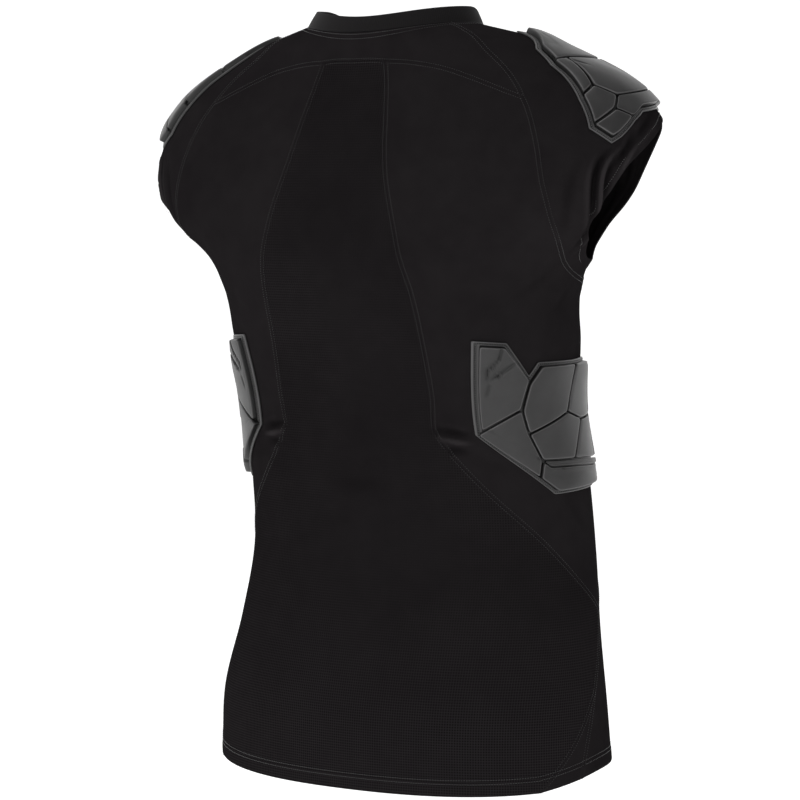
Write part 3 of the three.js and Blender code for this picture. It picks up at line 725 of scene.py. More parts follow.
def knit_material(name, dark, light, rough, sheen, eyelets):
    """Stretch knit: fine wales along the piece, a soft sheen and slow colour variation.
    Creases are a little darker in their troughs from painted shade and paler on their ridges from a
    painted highlight. With eyelets, small staggered holes stand 2.4 mm apart, darkened with painted
    shade, and towards the hem the knit between them is made paler as a painted highlight."""
    material, tree, shader = new_material(name)
    place = tree.nodes.new("ShaderNodeTexCoord")
    split = tree.nodes.new("ShaderNodeSeparateXYZ")
    tree.links.new(place.outputs["UV"], split.inputs["Vector"])
    wales = wave_node(tree, "SINE", split.outputs["X"], WALE_PITCH)
    courses = wave_node(tree, "SINE", split.outputs["Y"], COURSE_PITCH)
    loops = math_node(tree, "MULTIPLY", wales, courses)
    slow = noise_node(tree, place.outputs["Object"], 9.0, 2.0)
    cloud = noise_node(tree, place.outputs["Object"], 60.0, 3.0)
    fuzz = noise_node(tree, place.outputs["Object"], 1600.0, 2.0)
    tone = sum_node(tree, slow, 0.6, cloud, 0.4)
    share = range_node(tree, tone, 0.35, 0.65, 0.0, 1.0)
    colour = mix_colour(tree, share, dark, light)
    relief = tree.nodes.new("ShaderNodeAttribute")
    relief.attribute_name = "relief"
    # Painted shade: the colour darkens where the relief is a crease trough.
    trough = range_node(tree, relief.outputs["Fac"], 0.0, -3.0, 0.0, 0.6)
    colour = mix_colour(tree, trough, colour, tuple(0.35 * c for c in dark))
    # Painted highlight: the colour pales where the relief is a raised crease ridge.
    ridge = range_node(tree, relief.outputs["Fac"], 0.6, 2.6, 0.0, 1.0)
    colour = mix_colour(tree, ridge, colour, tuple(1.8 * c for c in light))
    height = math_node(tree, "ADD", math_node(tree, "MULTIPLY", loops, 0.35), fuzz)
    if eyelets:
        across = wave_node(tree, "COSINE", split.outputs["X"], 2 * EYELET_PITCH)
        down = wave_node(tree, "COSINE", split.outputs["Y"], 2 * EYELET_PITCH)
        spot = math_node(tree, "ABSOLUTE", math_node(tree, "MULTIPLY", across, down))
        hole = range_node(tree, spot, 0.45, 0.8, 0.0, 1.0)
        body = tree.nodes.new("ShaderNodeSeparateXYZ")
        tree.links.new(place.outputs["Object"], body.inputs["Vector"])
        # Share of painted highlight, rising from Z -0.5 m to -0.62 m towards the hem.
        lower_highlight_share = range_node(tree, body.outputs["Z"], -0.5, -0.62, 0.0, 0.45)
        # Painted shade: the holes are darkened in the colour, as the shaded inside shows through them.
        colour = mix_colour(tree, hole, colour, tuple(0.5 * c for c in dark))
        # Painted highlight: the knit between the holes is made paler low on the back.
        between = range_node(tree, spot, 0.3, 0.05, 0.0, 1.0)
        painted_highlight_between_holes = math_node(tree, "MULTIPLY", between, lower_highlight_share)
        colour = mix_colour(tree, painted_highlight_between_holes, colour, tuple(1.9 * c for c in light))
        height = math_node(tree, "SUBTRACT", height, math_node(tree, "MULTIPLY", hole, 2.2))
        roughness = range_node(tree, hole, 0.0, 1.0, rough, 0.9)
        tree.links.new(roughness, shader.inputs["Roughness"])
    else:
        roughness = range_node(tree, cloud, 0.3, 0.7, rough - 0.04, rough + 0.05)
        tree.links.new(roughness, shader.inputs["Roughness"])
    tree.links.new(colour, shader.inputs["Base Color"])
    normal = bump_node(tree, height, 0.5, 0.00012)
    tree.links.new(normal, shader.inputs["Normal"])
    shader.inputs["Specular IOR Level"].default_value = 0.0
    shader.inputs["Sheen Weight"].default_value = sheen
    shader.inputs["Sheen Roughness"].default_value = 0.35
    shader.inputs["Sheen Tint"].default_value = (0.8, 0.8, 0.85, 1.0)
    return material


def rib_material(name, dark, light):
    """Fine rib knit: narrow upright ribs with a darker gap between them."""
    material, tree, shader = new_material(name)
    place = tree.nodes.new("ShaderNodeTexCoord")
    split = tree.nodes.new("ShaderNodeSeparateXYZ")
    tree.links.new(place.outputs["UV"], split.inputs["Vector"])
    ribs = wave_node(tree, "SINE", split.outputs["X"], RIB_PITCH)
    fuzz = noise_node(tree, place.outputs["Object"], 1400.0, 2.0)
    share = range_node(tree, ribs, -1.0, 0.6, 0.0, 1.0)
    colour = mix_colour(tree, share, dark, light)
    height = math_node(tree, "ADD", ribs, math_node(tree, "MULTIPLY", fuzz, 0.5))
    tree.links.new(colour, shader.inputs["Base Color"])
    tree.links.new(bump_node(tree, height, 0.35, 0.00012), shader.inputs["Normal"])
    shader.inputs["Roughness"].default_value = 0.72
    shader.inputs["Sheen Weight"].default_value = 0.04
    shader.inputs["Sheen Roughness"].default_value = 0.4
    shader.inputs["Specular IOR Level"].default_value = 0.08
    return material


def foam_material(name, dark, light):
    """Moulded foam skin: satin grey with a fine grain, darker in the grooves from painted shade and
    paler on edges from a painted highlight.
    """
    material, tree, shader = new_material(name)
    place = tree.nodes.new("ShaderNodeTexCoord")
    # The relief attribute holds painted light tones: 0 in grooves and floor for painted shade, 1 on
    # edges for a painted highlight.
    value = tree.nodes.new("ShaderNodeAttribute")
    value.attribute_name = "relief"
    depth = range_node(tree, value.outputs["Fac"], 0.0, 1.0, 0.0, 1.0)
    grain = noise_node(tree, place.outputs["Object"], 1300.0, 3.0)
    cloud = noise_node(tree, place.outputs["Object"], 45.0, 3.0)
    tone = sum_node(tree, depth, 0.8, cloud, 0.25)
    level = range_node(tree, tone, 0.1, 1.0, 0.0, 1.0)
    share = math_node(tree, "POWER", level, 2.0)
    colour = mix_colour(tree, share, dark, light)
    tree.links.new(colour, shader.inputs["Base Color"])
    tree.links.new(bump_node(tree, grain, 0.35, 0.00012), shader.inputs["Normal"])
    roughness = range_node(tree, cloud, 0.3, 0.7, 0.34, 0.44)
    tree.links.new(roughness, shader.inputs["Roughness"])
    shader.inputs["Specular IOR Level"].default_value = 0.35
    shader.inputs["Coat Weight"].default_value = 0.06
    shader.inputs["Coat Roughness"].default_value = 0.3
    return material


def thread_material(name, dark, light):
    material, tree, shader = new_material(name)
    place = tree.nodes.new("ShaderNodeTexCoord")
    tone = noise_node(tree, place.outputs["Object"], 700.0, 2.0)
    colour = mix_colour(tree, range_node(tree, tone, 0.35, 0.65, 0.0, 1.0), dark, light)
    tree.links.new(colour, shader.inputs["Base Color"])
    tree.links.new(bump_node(tree, tone, 0.4, 0.0001), shader.inputs["Normal"])
    shader.inputs["Roughness"].default_value = 0.5
    shader.inputs["Sheen Weight"].default_value = 0.4
    return material


KNIT_DARK = (0.0112, 0.0099, 0.0106)
KNIT = knit_material("knit_cloth", KNIT_DARK, (0.0147, 0.0132, 0.0139), 0.6, 0.003, False)
MESH_KNIT = knit_material("mesh_cloth", KNIT_DARK, (0.0149, 0.0134, 0.0141), 0.6, 0.003, True)
RIB = rib_material("rib_collar", (0.006, 0.0054, 0.0057), (0.0085, 0.0076, 0.008))
# Pad foam colours: the middle tone of the block tops is the foam's own grey; the dark end is painted
# shade for grooves and floor, the light end a painted highlight for edges.
FOAM = foam_material("pad_foam", (0.0045, 0.0045, 0.0045), (0.088, 0.0855, 0.0868))
THREAD = thread_material("seam_thread", (0.005, 0.0046, 0.0048), (0.019, 0.018, 0.0185))
PAD_THREAD = thread_material("pad_thread", (0.06, 0.058, 0.06), (0.13, 0.128, 0.13))

# Cloth pieces


def keep(piece, node):
    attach(piece, "root")
    if node is not None:
        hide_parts(node)
    return piece


def mirrored(parts):
    return [([(level, -angle) for level, angle in rows], steps) for rows, steps in parts]


def over_front(parts):
    return [([(level, 360 - angle) for level, angle in rows], steps) for rows, steps in parts]


def body_relief(grid, seam_sides, hem=False, neck=False):
    points = cloth_points(grid.angle, grid.level)
    relief = crease_relief(points, BODY_CREASES, True)
    for side in seam_sides:
        relief = relief + welt(getattr(grid, side))
    if hem:
        relief = relief + hem_step(grid.bottom)
    if neck:
        relief = relief + welt(grid.top, 0.35)
    return relief


def front_hem_rise(s):
    """Rise of the front hem past the gusset seams, at shares of the front's width."""
    near = np.clip(np.minimum(s, 1 - s) / 0.08, 0, 1)
    return HEM_RISE * (1 - (1 - near) ** 2)


def bend_back(position, s):
    """Level change that rounds the back's top edge and dips its hem."""
    top = 3.0 * max(0.0, 1 - position / 4) * (1 - np.abs(2 * s - 1))
    low = max(0.0, (position - 28) / 5)
    return top - HEM_DIP * low * low * (1 - (2 * s - 1) ** 4)


def make_back():
    edge = [(BACK_SEAM, 15), (WAIST_SEAM, 10), (SIDE_SEAM, 3), (GUSSET_BACK, 5)]
    positions = row_positions(33, 24.0)
    grid = grid_between(mirrored(edge), edge, positions, 24.0, bend_back)
    grid.bottom = grid.level - grid.level[-1:]
    relief = body_relief(grid, ("left", "right", "top"), hem=True)
    made = shell_object("back_panel_cloth", grid, relief, MESH_KNIT)
    return keep(made, "back_panel")


def bend_front(position, s):
    """Level change that raises the front's hem past the gussets."""
    low = max(0.0, (position - 31) / 5)
    return low * low * front_hem_rise(s)


def make_front():
    edge = [(RAGLAN_FRONT, 14), (FRONT_SEAM, 14), (SIDE_SEAM, 3), (GUSSET_FRONT, 5)]
    positions = row_positions(36, 22.0)
    grid = grid_between(edge, over_front(edge), positions, 22.0, bend_front)
    grid.bottom = grid.level - grid.level[-1:]
    relief = body_relief(grid, ("left", "right"), hem=True, neck=True)
    made = shell_object("front_panel_cloth", grid, relief, KNIT)
    return keep(made, "front_panel")


def bend_yoke(position, s):
    """Level change that brings the yoke's rows to its lower seam."""
    seam = np.vstack([smooth_curve(list(reversed(YOKE_OUTER))), smooth_curve(YOKE_MIDDLE)[1:]])
    share = position / 5
    angle = np.abs(2 * s - 1) * 65
    level = np.interp(angle, seam[::-1, 0], seam[::-1, 1])
    return share * share * (level + 70)


def make_yoke():
    edge = [(RAGLAN_BACK_TOP, 5)]
    positions = row_positions(5, 19.0)
    grid = grid_between(mirrored(edge), edge, positions, 19.0, bend_yoke)
    relief = body_relief(grid, ("left", "right", "bottom"), neck=True)
    made = shell_object("back_yoke_cloth", grid, relief, KNIT)
    return keep(made, "back_yoke")


def bend_side(position, s):
    """Level change that brings the side panel's first rows to the yoke's outer seam."""
    outer = smooth_curve(YOKE_OUTER)
    fade = max(0.0, 1 - position / 5)
    angle = 21.5 + s * 43.5
    level = np.interp(angle, outer[:, 0], outer[:, 1])
    return fade * (level - (-30 - 40 * s))


def make_side(flip):
    back_edge = [(BACK_SEAM, 15), (WAIST_SEAM, 10)]
    front_edge = [(RAGLAN_BACK, 11), (FRONT_SEAM, 14)]
    positions = row_positions(25, 24.0)
    grid = grid_between(back_edge, front_edge, positions, 24.0, bend_side)
    relief = body_relief(grid, ("left", "right", "top"))
    side = "right" if flip else "left"
    made = shell_object(f"side_panel_cloth_{side}", grid, relief, KNIT, flip=flip)
    return keep(made, f"side_panel_{side}")


def make_gusset(flip):
    positions = row_positions(5, 19.0)
    grid = grid_between([(GUSSET_BACK, 5)], [(GUSSET_FRONT, 5)], positions, 19.0)
    grid.bottom = grid.level - grid.level[-1:]
    relief = body_relief(grid, ("left", "right"), hem=True)
    side = "right" if flip else "left"
    made = shell_object(f"hem_gusset_cloth_{side}", grid, relief, KNIT, flip=flip)
    return keep(made, f"hem_gusset_{side}")


def sleeve_loops(fine):
    """Matching places on the armhole seam with the neckline, and on the cuff edge."""
    neck = [(0, 68), (0, 92), (0, 117)]
    outer_parts = reverse([(RAGLAN_BACK, 11)]) + reverse([(RAGLAN_BACK_TOP, 5)])
    outer_parts = outer_parts + [(neck, 4), (RAGLAN_FRONT, 14)]
    cuff_parts = [(CUFF_BACK, 16), (CUFF_TOP, 4), (CUFF_FRONT, 14)]
    positions = np.arange(34 * fine) / fine
    return chain_at(outer_parts, positions), chain_at(cuff_parts, positions)


def make_sleeve(flip):
    outer, cuff = sleeve_loops(6)
    longest = 190.0
    template = graded(longest, GRID_STEP)
    hem_rows = np.linspace(longest - 15, longest, 13)
    template = np.unique(np.concatenate([template[template < longest - 16], hem_rows]))
    shares = template / longest
    lines = []
    from_outer = []
    from_cuff = []
    for start, end in zip(outer, cuff):
        row, distance, total = cross_row(start, end, shares)
        lines.append(row)
        from_outer.append(distance)
        from_cuff.append(total - distance)
    places = np.array(lines).transpose(1, 0, 2)
    outer_distance = np.array(from_outer).T
    cuff_distance = np.array(from_cuff).T
    grid = Grid(places, outer_distance, cuff_distance, outer_distance, cuff_distance)
    points = cloth_points(grid.angle, grid.level)
    relief = crease_relief(points, SLEEVE_CREASES, False)
    relief = relief * (0.35 + 0.65 * np.clip(cuff_distance / 6, 0, 1))
    relief = relief + welt(outer_distance) + hem_step(cuff_distance, 9.0, 0.6)
    around = lengths_along(np.vstack([outer, outer[:1]]))[:-1]
    grid.left = np.repeat(around[None, :], len(shares), axis=0)
    grid.right = -grid.left
    side = "right" if flip else "left"
    made = shell_object(f"sleeve_cloth_{side}", grid, relief, KNIT, ring=True, flip=flip)
    return keep(made, f"sleeve_{side}")


def collar_frame(angle):
    """Foot, rise direction and outward direction of the collar at each angle."""
    level = np.zeros_like(angle)
    foot = cloth_points(angle, level)
    turn = np.radians(angle)
    radial = np.stack([np.sin(turn), np.cos(turn), np.zeros_like(turn)], axis=-1)
    axis = np.array([0.0, -math.sin(NECK_TILT), math.cos(NECK_TILT)])
    rise = unit(axis * math.cos(COLLAR_LEAN) - radial * math.sin(COLLAR_LEAN))
    slope = unit(foot - cloth_points(angle, level - 1))
    start = 0.95 * (1 - np.sum(slope * rise, axis=-1) ** 2)
    around = cloth_points(angle + 0.1, level) - cloth_points(angle - 0.1, level)
    out = unit(np.cross(rise, around))
    return foot, rise, out, start


def make_collar():
    columns = 420
    angle = np.linspace(-180, 180, columns, endpoint=False)
    foot, rise, out, start = collar_frame(angle)
    profile = []
    for t in np.linspace(0, 1, 16):
        profile.append((1 - t, COLLAR_HALF, 0.25 * math.sin(math.pi * t)))
    profile = profile[::-1]
    for t in np.linspace(0, 1, 9)[1:-1]:
        turn = math.pi * t
        above = 0.9 * COLLAR_HALF * math.sin(turn) / COLLAR_HEIGHT
        profile.append((1 + above, COLLAR_HALF * math.cos(turn), 0))
    for t in np.linspace(0, 1, 8):
        profile.append((1 - t, -COLLAR_HALF, 0))
    rows = []
    uvs = []
    around = np.concatenate([[0], np.cumsum(np.linalg.norm(np.diff(foot, axis=0), axis=1))])
    for share, offset, bulge in profile:
        height = start + share * (COLLAR_HEIGHT - 1.0 - start)
        rows.append(foot + rise * height[:, None] + out * (offset + bulge))
        uvs.append(np.stack([around * MM, height * MM], axis=-1))
    rows = rows[::-1]
    uvs = uvs[::-1]
    points = np.vstack(rows)
    count = len(rows)
    faces = quad_faces(count, columns, True)
    last = np.arange(columns) + (count - 1) * columns
    first = np.arange(columns)
    closing = np.stack([last, np.roll(last, -1), np.roll(first, -1), first], axis=-1)
    faces = np.vstack([faces, closing])
    made = make_object("collar_rib", points, [faces], RIB, np.vstack(uvs))
    return keep(made, "collar")


# Stitches

GRAIN = np.array(
    [
        (-0.5, 0, 0),
        (-0.25, 0.5, 0),
        (-0.25, 0, 0.5),
        (-0.25, -0.5, 0),
        (0.25, 0.5, 0),
        (0.25, 0, 0.5),
        (0.25, -0.5, 0),
        (0.5, 0, 0),
    ]
)
GRAIN_FACES = np.array(
    [
        (0, 2, 1),
        (0, 3, 2),
        (1, 2, 5),
        (1, 5, 4),
        (2, 3, 6),
        (2, 6, 5),
        (4, 5, 7),
        (5, 6, 7),
        (0, 1, 3),
        (1, 4, 6),
        (1, 6, 3),
        (4, 7, 6),
    ]
)


class Stitches:
    """Collects small thread grains, then makes one joined mesh of them."""

    def __init__(self):
        self.points = []

    def along(self, line, normal, offset, lift, pitch=2.0, length=1.5, width=0.55, slant=0.0):
        """A row beside a 3-D line, offset to its side and lifted off the cloth."""
        steps = np.linalg.norm(np.diff(line, axis=0), axis=1)
        lengths = np.concatenate([[0], np.cumsum(steps)])
        total = lengths[-1]
        count = max(1, int(total / pitch))
        wanted = (np.arange(count) + 0.5) * total / count
        centre = np.stack([np.interp(wanted, lengths, line[:, i]) for i in range(3)], axis=-1)
        ahead = np.stack([np.interp(wanted + 0.4, lengths, line[:, i]) for i in range(3)], axis=-1)
        behind = np.stack([np.interp(wanted - 0.4, lengths, line[:, i]) for i in range(3)], axis=-1)
        out = unit(np.stack([np.interp(wanted, lengths, normal[:, i]) for i in range(3)], axis=-1))
        tangent = unit(ahead - behind)
        side = unit(np.cross(out, tangent))
        centre = centre + side * offset + out * lift
        forward = unit(tangent * math.cos(slant) + side * math.sin(slant))
        cross = np.cross(out, forward)
        grains = (
            centre[:, None, :]
            + GRAIN[None, :, 0:1] * length * forward[:, None, :]
            + GRAIN[None, :, 1:2] * width * cross[:, None, :]
            + GRAIN[None, :, 2:3] * width * 1.1 * out[:, None, :]
        )
        self.points.append(grains.reshape(-1, 3))

    def make(self, name, material, slot):
        points = np.vstack(self.points)
        count = len(points) // len(GRAIN)
        faces = (GRAIN_FACES[None] + np.arange(count)[:, None, None] * len(GRAIN)).reshape(-1, 3)
        return keep(make_object(name, points, [faces], material, sharp=80), None)


def on_cloth(places):
    points = cloth_points(places[:, 0], places[:, 1])
    return points, cloth_normals(places[:, 0], places[:, 1])


def flip_line(line, normal):
    turn = np.array([-1, 1, 1])
    return line * turn, normal * turn


def creased(line, normal, creases, mirror):
    """Moves a stitch line in and out with the cloth's creases."""
    return line + normal * crease_relief(line, creases, mirror)[:, None]


def both_sides(rows):
    line, normal = on_cloth(smooth_curve(rows, 240))
    line = creased(line, normal, BODY_CREASES, True)
    return [(line, normal), flip_line(line, normal)]


def make_seam_stitches():
    seams = Stitches()
    paired = [
        YOKE_OUTER,
        RAGLAN_BACK_TOP,
        RAGLAN_BACK,
        RAGLAN_FRONT,
        BACK_SEAM,
        WAIST_SEAM,
        FRONT_SEAM,
        SIDE_SEAM,
        GUSSET_BACK,
        GUSSET_FRONT,
        YOKE_MIDDLE,
    ]
    lift = OUTER_OFFSET + 0.5
    for rows in paired:
        for line, normal in both_sides(rows):
            for offset in (-1.9, 1.9):
                seams.along(line, normal, offset, lift, 2.3, 1.0, 0.5)
            seams.along(line, normal, 0.0, lift - 0.4, 2.3, 3.0, 0.22, 1.15)
    return seams.make("seam_stitches", THREAD, "knit_cloth")


def make_edge_stitches():
    edges = Stitches()
    turns = np.linspace(-180, 180, 721)
    round_turns = np.abs(turns)
    back_level, back_angle = GUSSET_BACK[-1]
    front_level, front_angle = GUSSET_FRONT[-1]
    back_hem = back_level - HEM_DIP * (1 - (np.minimum(round_turns, back_angle) / back_angle) ** 4)
    front_share = (round_turns - front_angle) / (360 - 2 * front_angle)
    front_hem = front_level + front_hem_rise(front_share)
    gusset_hem = np.interp(round_turns, (back_angle, front_angle), (back_level, front_level))
    hem = np.where(round_turns < back_angle, back_hem, gusset_hem)
    hem = np.where(round_turns > front_angle, front_hem, hem)
    for above in (11.4, 15.2):
        places = np.stack([turns, hem + above], axis=-1)
        line, normal = on_cloth(places)
        edges.along(line, normal, 0.0, OUTER_OFFSET + 0.3, 2.4, 1.9, 0.5)
    neck = np.stack([turns, np.zeros_like(turns)], axis=-1)
    line, normal = on_cloth(neck)
    for offset in (1.6, 5.8):
        edges.along(line, normal, offset, OUTER_OFFSET + 0.35, 2.2, 1.6, 0.5)
    cuff = sleeve_loops(6)[1]
    cuff = np.vstack([cuff, cuff[:1]])
    line, normal = on_cloth(cuff)
    line = creased(line, normal, SLEEVE_CREASES, False)
    edges.along(line, normal, -CUFF_INSET, OUTER_OFFSET + 0.7, 2.2, 1.7, 0.5)
    edges.along(*flip_line(line, normal), CUFF_INSET, OUTER_OFFSET + 0.7, 2.2, 1.7, 0.5)
    return edges.make("edge_stitches", THREAD, "knit_cloth")


# Pads


class Plane:
    """Flat millimetre coordinates round one place of the form, to offset outlines in."""

    def __init__(self, places):
        self.centre = places.mean(axis=0)
        here = cloth_points(self.centre[0], self.centre[1])
        beside = cloth_points(self.centre[0] + 0.5, self.centre[1])
        below = cloth_points(self.centre[0], self.centre[1] - 1.0)
        self.scale = np.array([np.linalg.norm(beside - here) * 2, np.linalg.norm(below - here)])

    def flat(self, places):
        return (places - self.centre) * self.scale

    def places(self, flat):
        return flat / self.scale + self.centre


def loop_area(loop):
    after = np.roll(loop, -1, axis=0)
    return 0.5 * np.sum(loop[:, 0] * after[:, 1] - after[:, 0] * loop[:, 1])


def inset_corners(loop, distances):
    """Corners of a counterclockwise flat loop whose sides have moved inwards by the distances."""
    leaving = np.roll(loop, -1, axis=0) - loop
    leaving = leaving / np.linalg.norm(leaving, axis=1, keepdims=True)
    arriving = np.roll(leaving, 1, axis=0)
    inward = np.stack([-leaving[:, 1], leaving[:, 0]], axis=1)
    inward_before = np.roll(inward, 1, axis=0)
    two = np.asarray(distances, dtype=float)
    one = np.roll(two, 1)
    cross = arriving[:, 0] * leaving[:, 1] - arriving[:, 1] * leaving[:, 0]
    bent = np.abs(cross) > 0.15
    safe = np.where(bent, cross, 1.0)
    mitred = loop + (leaving * one[:, None] - arriving * two[:, None]) / safe[:, None]
    level = loop + 0.5 * (inward * two[:, None] + inward_before * one[:, None])
    return np.where(bent[:, None], mitred, level)


def rounded_ring(loop, distances, radius, counts, arc=4):
    """Points round an inset loop with softened corners. counts gives the points of each side."""
    corners = inset_corners(loop, distances)
    after = np.roll(corners, -1, axis=0)
    before = np.roll(corners, 1, axis=0)
    to_after = after - corners
    to_before = before - corners
    span_after = np.linalg.norm(to_after, axis=1, keepdims=True)
    span_before = np.linalg.norm(to_before, axis=1, keepdims=True)
    reach = np.minimum(radius, 0.42 * np.minimum(span_after, span_before))
    start = corners + to_before / np.maximum(span_before, 1e-6) * reach
    end = corners + to_after / np.maximum(span_after, 1e-6) * reach
    t = np.linspace(0, 1, arc)[:, None, None]
    arcs = start * (1 - t) ** 2 + 2 * corners * t * (1 - t) + end * t**2
    parts = []
    for i in range(len(loop)):
        share = np.arange(1, counts[i])[:, None] / counts[i]
        next_start = start[(i + 1) % len(loop)]
        parts.append(arcs[:, i])
        parts.append(end[i] * (1 - share) + next_start * share)
    return np.vstack(parts)


class Moulding:
    """Collects closed rings of places and heights, then joins them into one mesh."""

    def __init__(self):
        self.points = []
        self.faces = []
        self.painted_light_tones = []
        self.count = 0

    def add(self, places, heights, painted_light_tones, faces):
        angle = places[:, 0]
        level = places[:, 1]
        lifted = cloth_points(angle, level) + cloth_normals(angle, level) * heights[:, None]
        self.points.append(lifted)
        self.painted_light_tones.append(painted_light_tones)
        self.faces += [part + self.count for part in faces]
        self.count += len(places)

    def make(self, name, flip):
        points = np.vstack(self.points)
        faces = self.faces
        if flip:
            points = points * np.array([-1, 1, 1])
            faces = [part[:, ::-1] for part in faces]
        painted_light_tones = np.concatenate(self.painted_light_tones)
        return make_object(name, points, faces, FOAM, None, {"relief": painted_light_tones}, sharp=60)


def cut_depth(flat, plane, cuts):
    """Depth of the thin grooves inside a block, each a straight run of falling depth."""
    depth = np.zeros(len(flat))
    for start_level, start_angle, end_level, end_angle, cut, width in cuts:
        start = plane.flat(np.array([start_angle, start_level], dtype=float))
        end = plane.flat(np.array([end_angle, end_level], dtype=float))
        span = end - start
        share = np.clip(((flat - start) @ span) / (span @ span), 0, 1)
        gap = np.linalg.norm(flat - start - share[:, None] * span, axis=1)
        across = (flat - start) @ np.array([-span[1], span[0]]) / np.linalg.norm(span)
        steep = np.where(across > 0, width, width * 2.6)
        fade = np.clip((1.04 - share) * 3, 0, 1)
        depth = depth + cut * fade * np.exp(-((gap / steep) ** 2))
    return depth


def add_block(moulding, corners, block, insets, cuts, tilt, spacing=1.35):
    """One block: rings that step in from its foot, up its wall, over its edge and to its middle."""
    loop = np.array([(corners[key][1], corners[key][0]) for key in block], dtype=float)
    plane = Plane(loop)
    loop = plane.flat(loop)
    insets = np.asarray(insets, dtype=float)
    if loop_area(loop) < 0:
        loop = loop[::-1]
        insets = np.roll(insets[::-1], -1)
    foot = inset_corners(loop, insets)
    middle = foot.mean(axis=0)
    sides = np.roll(foot, -1, axis=0) - foot
    spans = np.linalg.norm(sides, axis=1)
    offset = middle - foot
    reaches = np.abs(sides[:, 0] * offset[:, 1] - sides[:, 1] * offset[:, 0]) / spans
    inradius = reaches.min()
    squeeze = min(1.0, 0.75 * inradius / 4.0)
    counts = np.maximum(3, np.round(spans / spacing).astype(int))
    rings = []
    heights = []
    painted_light_tones = []
    for inward, height, tone in BLOCK_PROFILE:
        ring = rounded_ring(loop, insets + inward * squeeze, 2.2 - 0.3 * inward, counts)
        rings.append(ring)
        heights.append(np.full(len(ring), height))
        painted_light_tones.append(np.full(len(ring), tone))
    inner = rings[-1]
    steps = max(4, int((inradius - 4.0 * squeeze) / spacing))
    for k in range(1, steps):
        rings.append(inner + (middle - inner) * k / steps)
        heights.append(np.full(len(inner), PAD_BLOCK))
        painted_light_tones.append(np.full(len(inner), 0.5))
    flat = np.vstack(rings + [middle[None, :]])
    height = np.concatenate(heights + [[PAD_BLOCK]])
    tone = np.concatenate(painted_light_tones + [[0.5]])
    depth_in = np.linalg.norm(flat - middle, axis=1)
    top = height > PAD_BLOCK - 0.4
    crown = 0.55 * (1 - np.clip(depth_in / (1.25 * spans.max()), 0, 1) ** 2)
    lean = (flat - middle) @ np.array([math.cos(tilt), math.sin(tilt)]) * 0.016
    depth = cut_depth(flat, plane, cuts)
    height = np.where(top, height + crown + lean - depth, height)
    # Painted shade: the short cuts darken the top's tone.
    tone = np.where(top, tone - 0.35 * np.clip(depth, 0, 1), tone)
    size = len(inner)
    count = len(rings)
    faces = quad_faces(count, size, True)
    last = (count - 1) * size + np.arange(size)
    tip = np.full(size, count * size)
    close_top = np.stack([np.roll(last, -1), last, tip], axis=1)
    first = np.arange(size)
    base = np.full(size, count * size + 1)
    close_base = np.stack([first, np.roll(first, -1), base], axis=1)
    flat = np.vstack([flat, middle[None, :]])
    height = np.append(height, BLOCK_PROFILE[0][1])
    tone = np.append(tone, 0.0)
    faces = [faces[:, ::-1], close_top, close_base]
    moulding.add(plane.places(flat), height + PAD_LIFT, tone, faces)


def add_flange(moulding, outline, plane, widths):
    """The stitched border: a closed profile carried along the outline."""
    loop = plane.flat(outline)
    sides = np.roll(loop, -1, axis=0) - loop
    counts = np.maximum(3, np.round(np.linalg.norm(sides, axis=1) / 2.0).astype(int))
    share = widths / FLANGE_WIDTH
    rings = []
    heights = []
    painted_light_tones = []
    for inward, height, tone in FLANGE_PROFILE:
        ring = rounded_ring(loop, inward * share, 1.2, counts)
        rings.append(ring)
        heights.append(np.full(len(ring), height))
        painted_light_tones.append(np.full(len(ring), tone))
    rings.append(rings[0])
    size = len(rings[0])
    count = len(rings) - 1
    faces = quad_faces(count + 1, size, True) % (count * size)
    places = plane.places(np.vstack(rings[:-1]))
    height = np.concatenate(heights)
    moulding.add(places, height + PAD_LIFT, np.concatenate(painted_light_tones), [faces[:, ::-1]])


def inside_loop(loop, flat):
    x = flat[..., 0]
    y = flat[..., 1]
    inside = np.zeros(x.shape, dtype=bool)
    after = np.roll(loop, -1, axis=0)
    for (ax, ay), (bx, by) in zip(loop, after):
        if ay == by:
            continue
        crosses = (ay > y) != (by > y)
        inside ^= crosses & (x < ax + (y - ay) * (bx - ax) / (by - ay))
    return inside


def nearest_on(loop, flat):
    """Nearest point of a closed loop for each flat point, and how far away it is."""
    best = np.full(flat.shape[:-1], 1e9)
    place = np.zeros(flat.shape)
    after = np.roll(loop, -1, axis=0)
    for start, end in zip(loop, after):
        span = end - start
        share = np.clip(((flat - start) @ span) / (span @ span), 0, 1)
        point = start + share[..., None] * span
        gap = np.linalg.norm(flat - point, axis=-1)
        closer = gap < best
        best = np.where(closer, gap, best)
        place = np.where(closer[..., None], point, place)
    return place, best


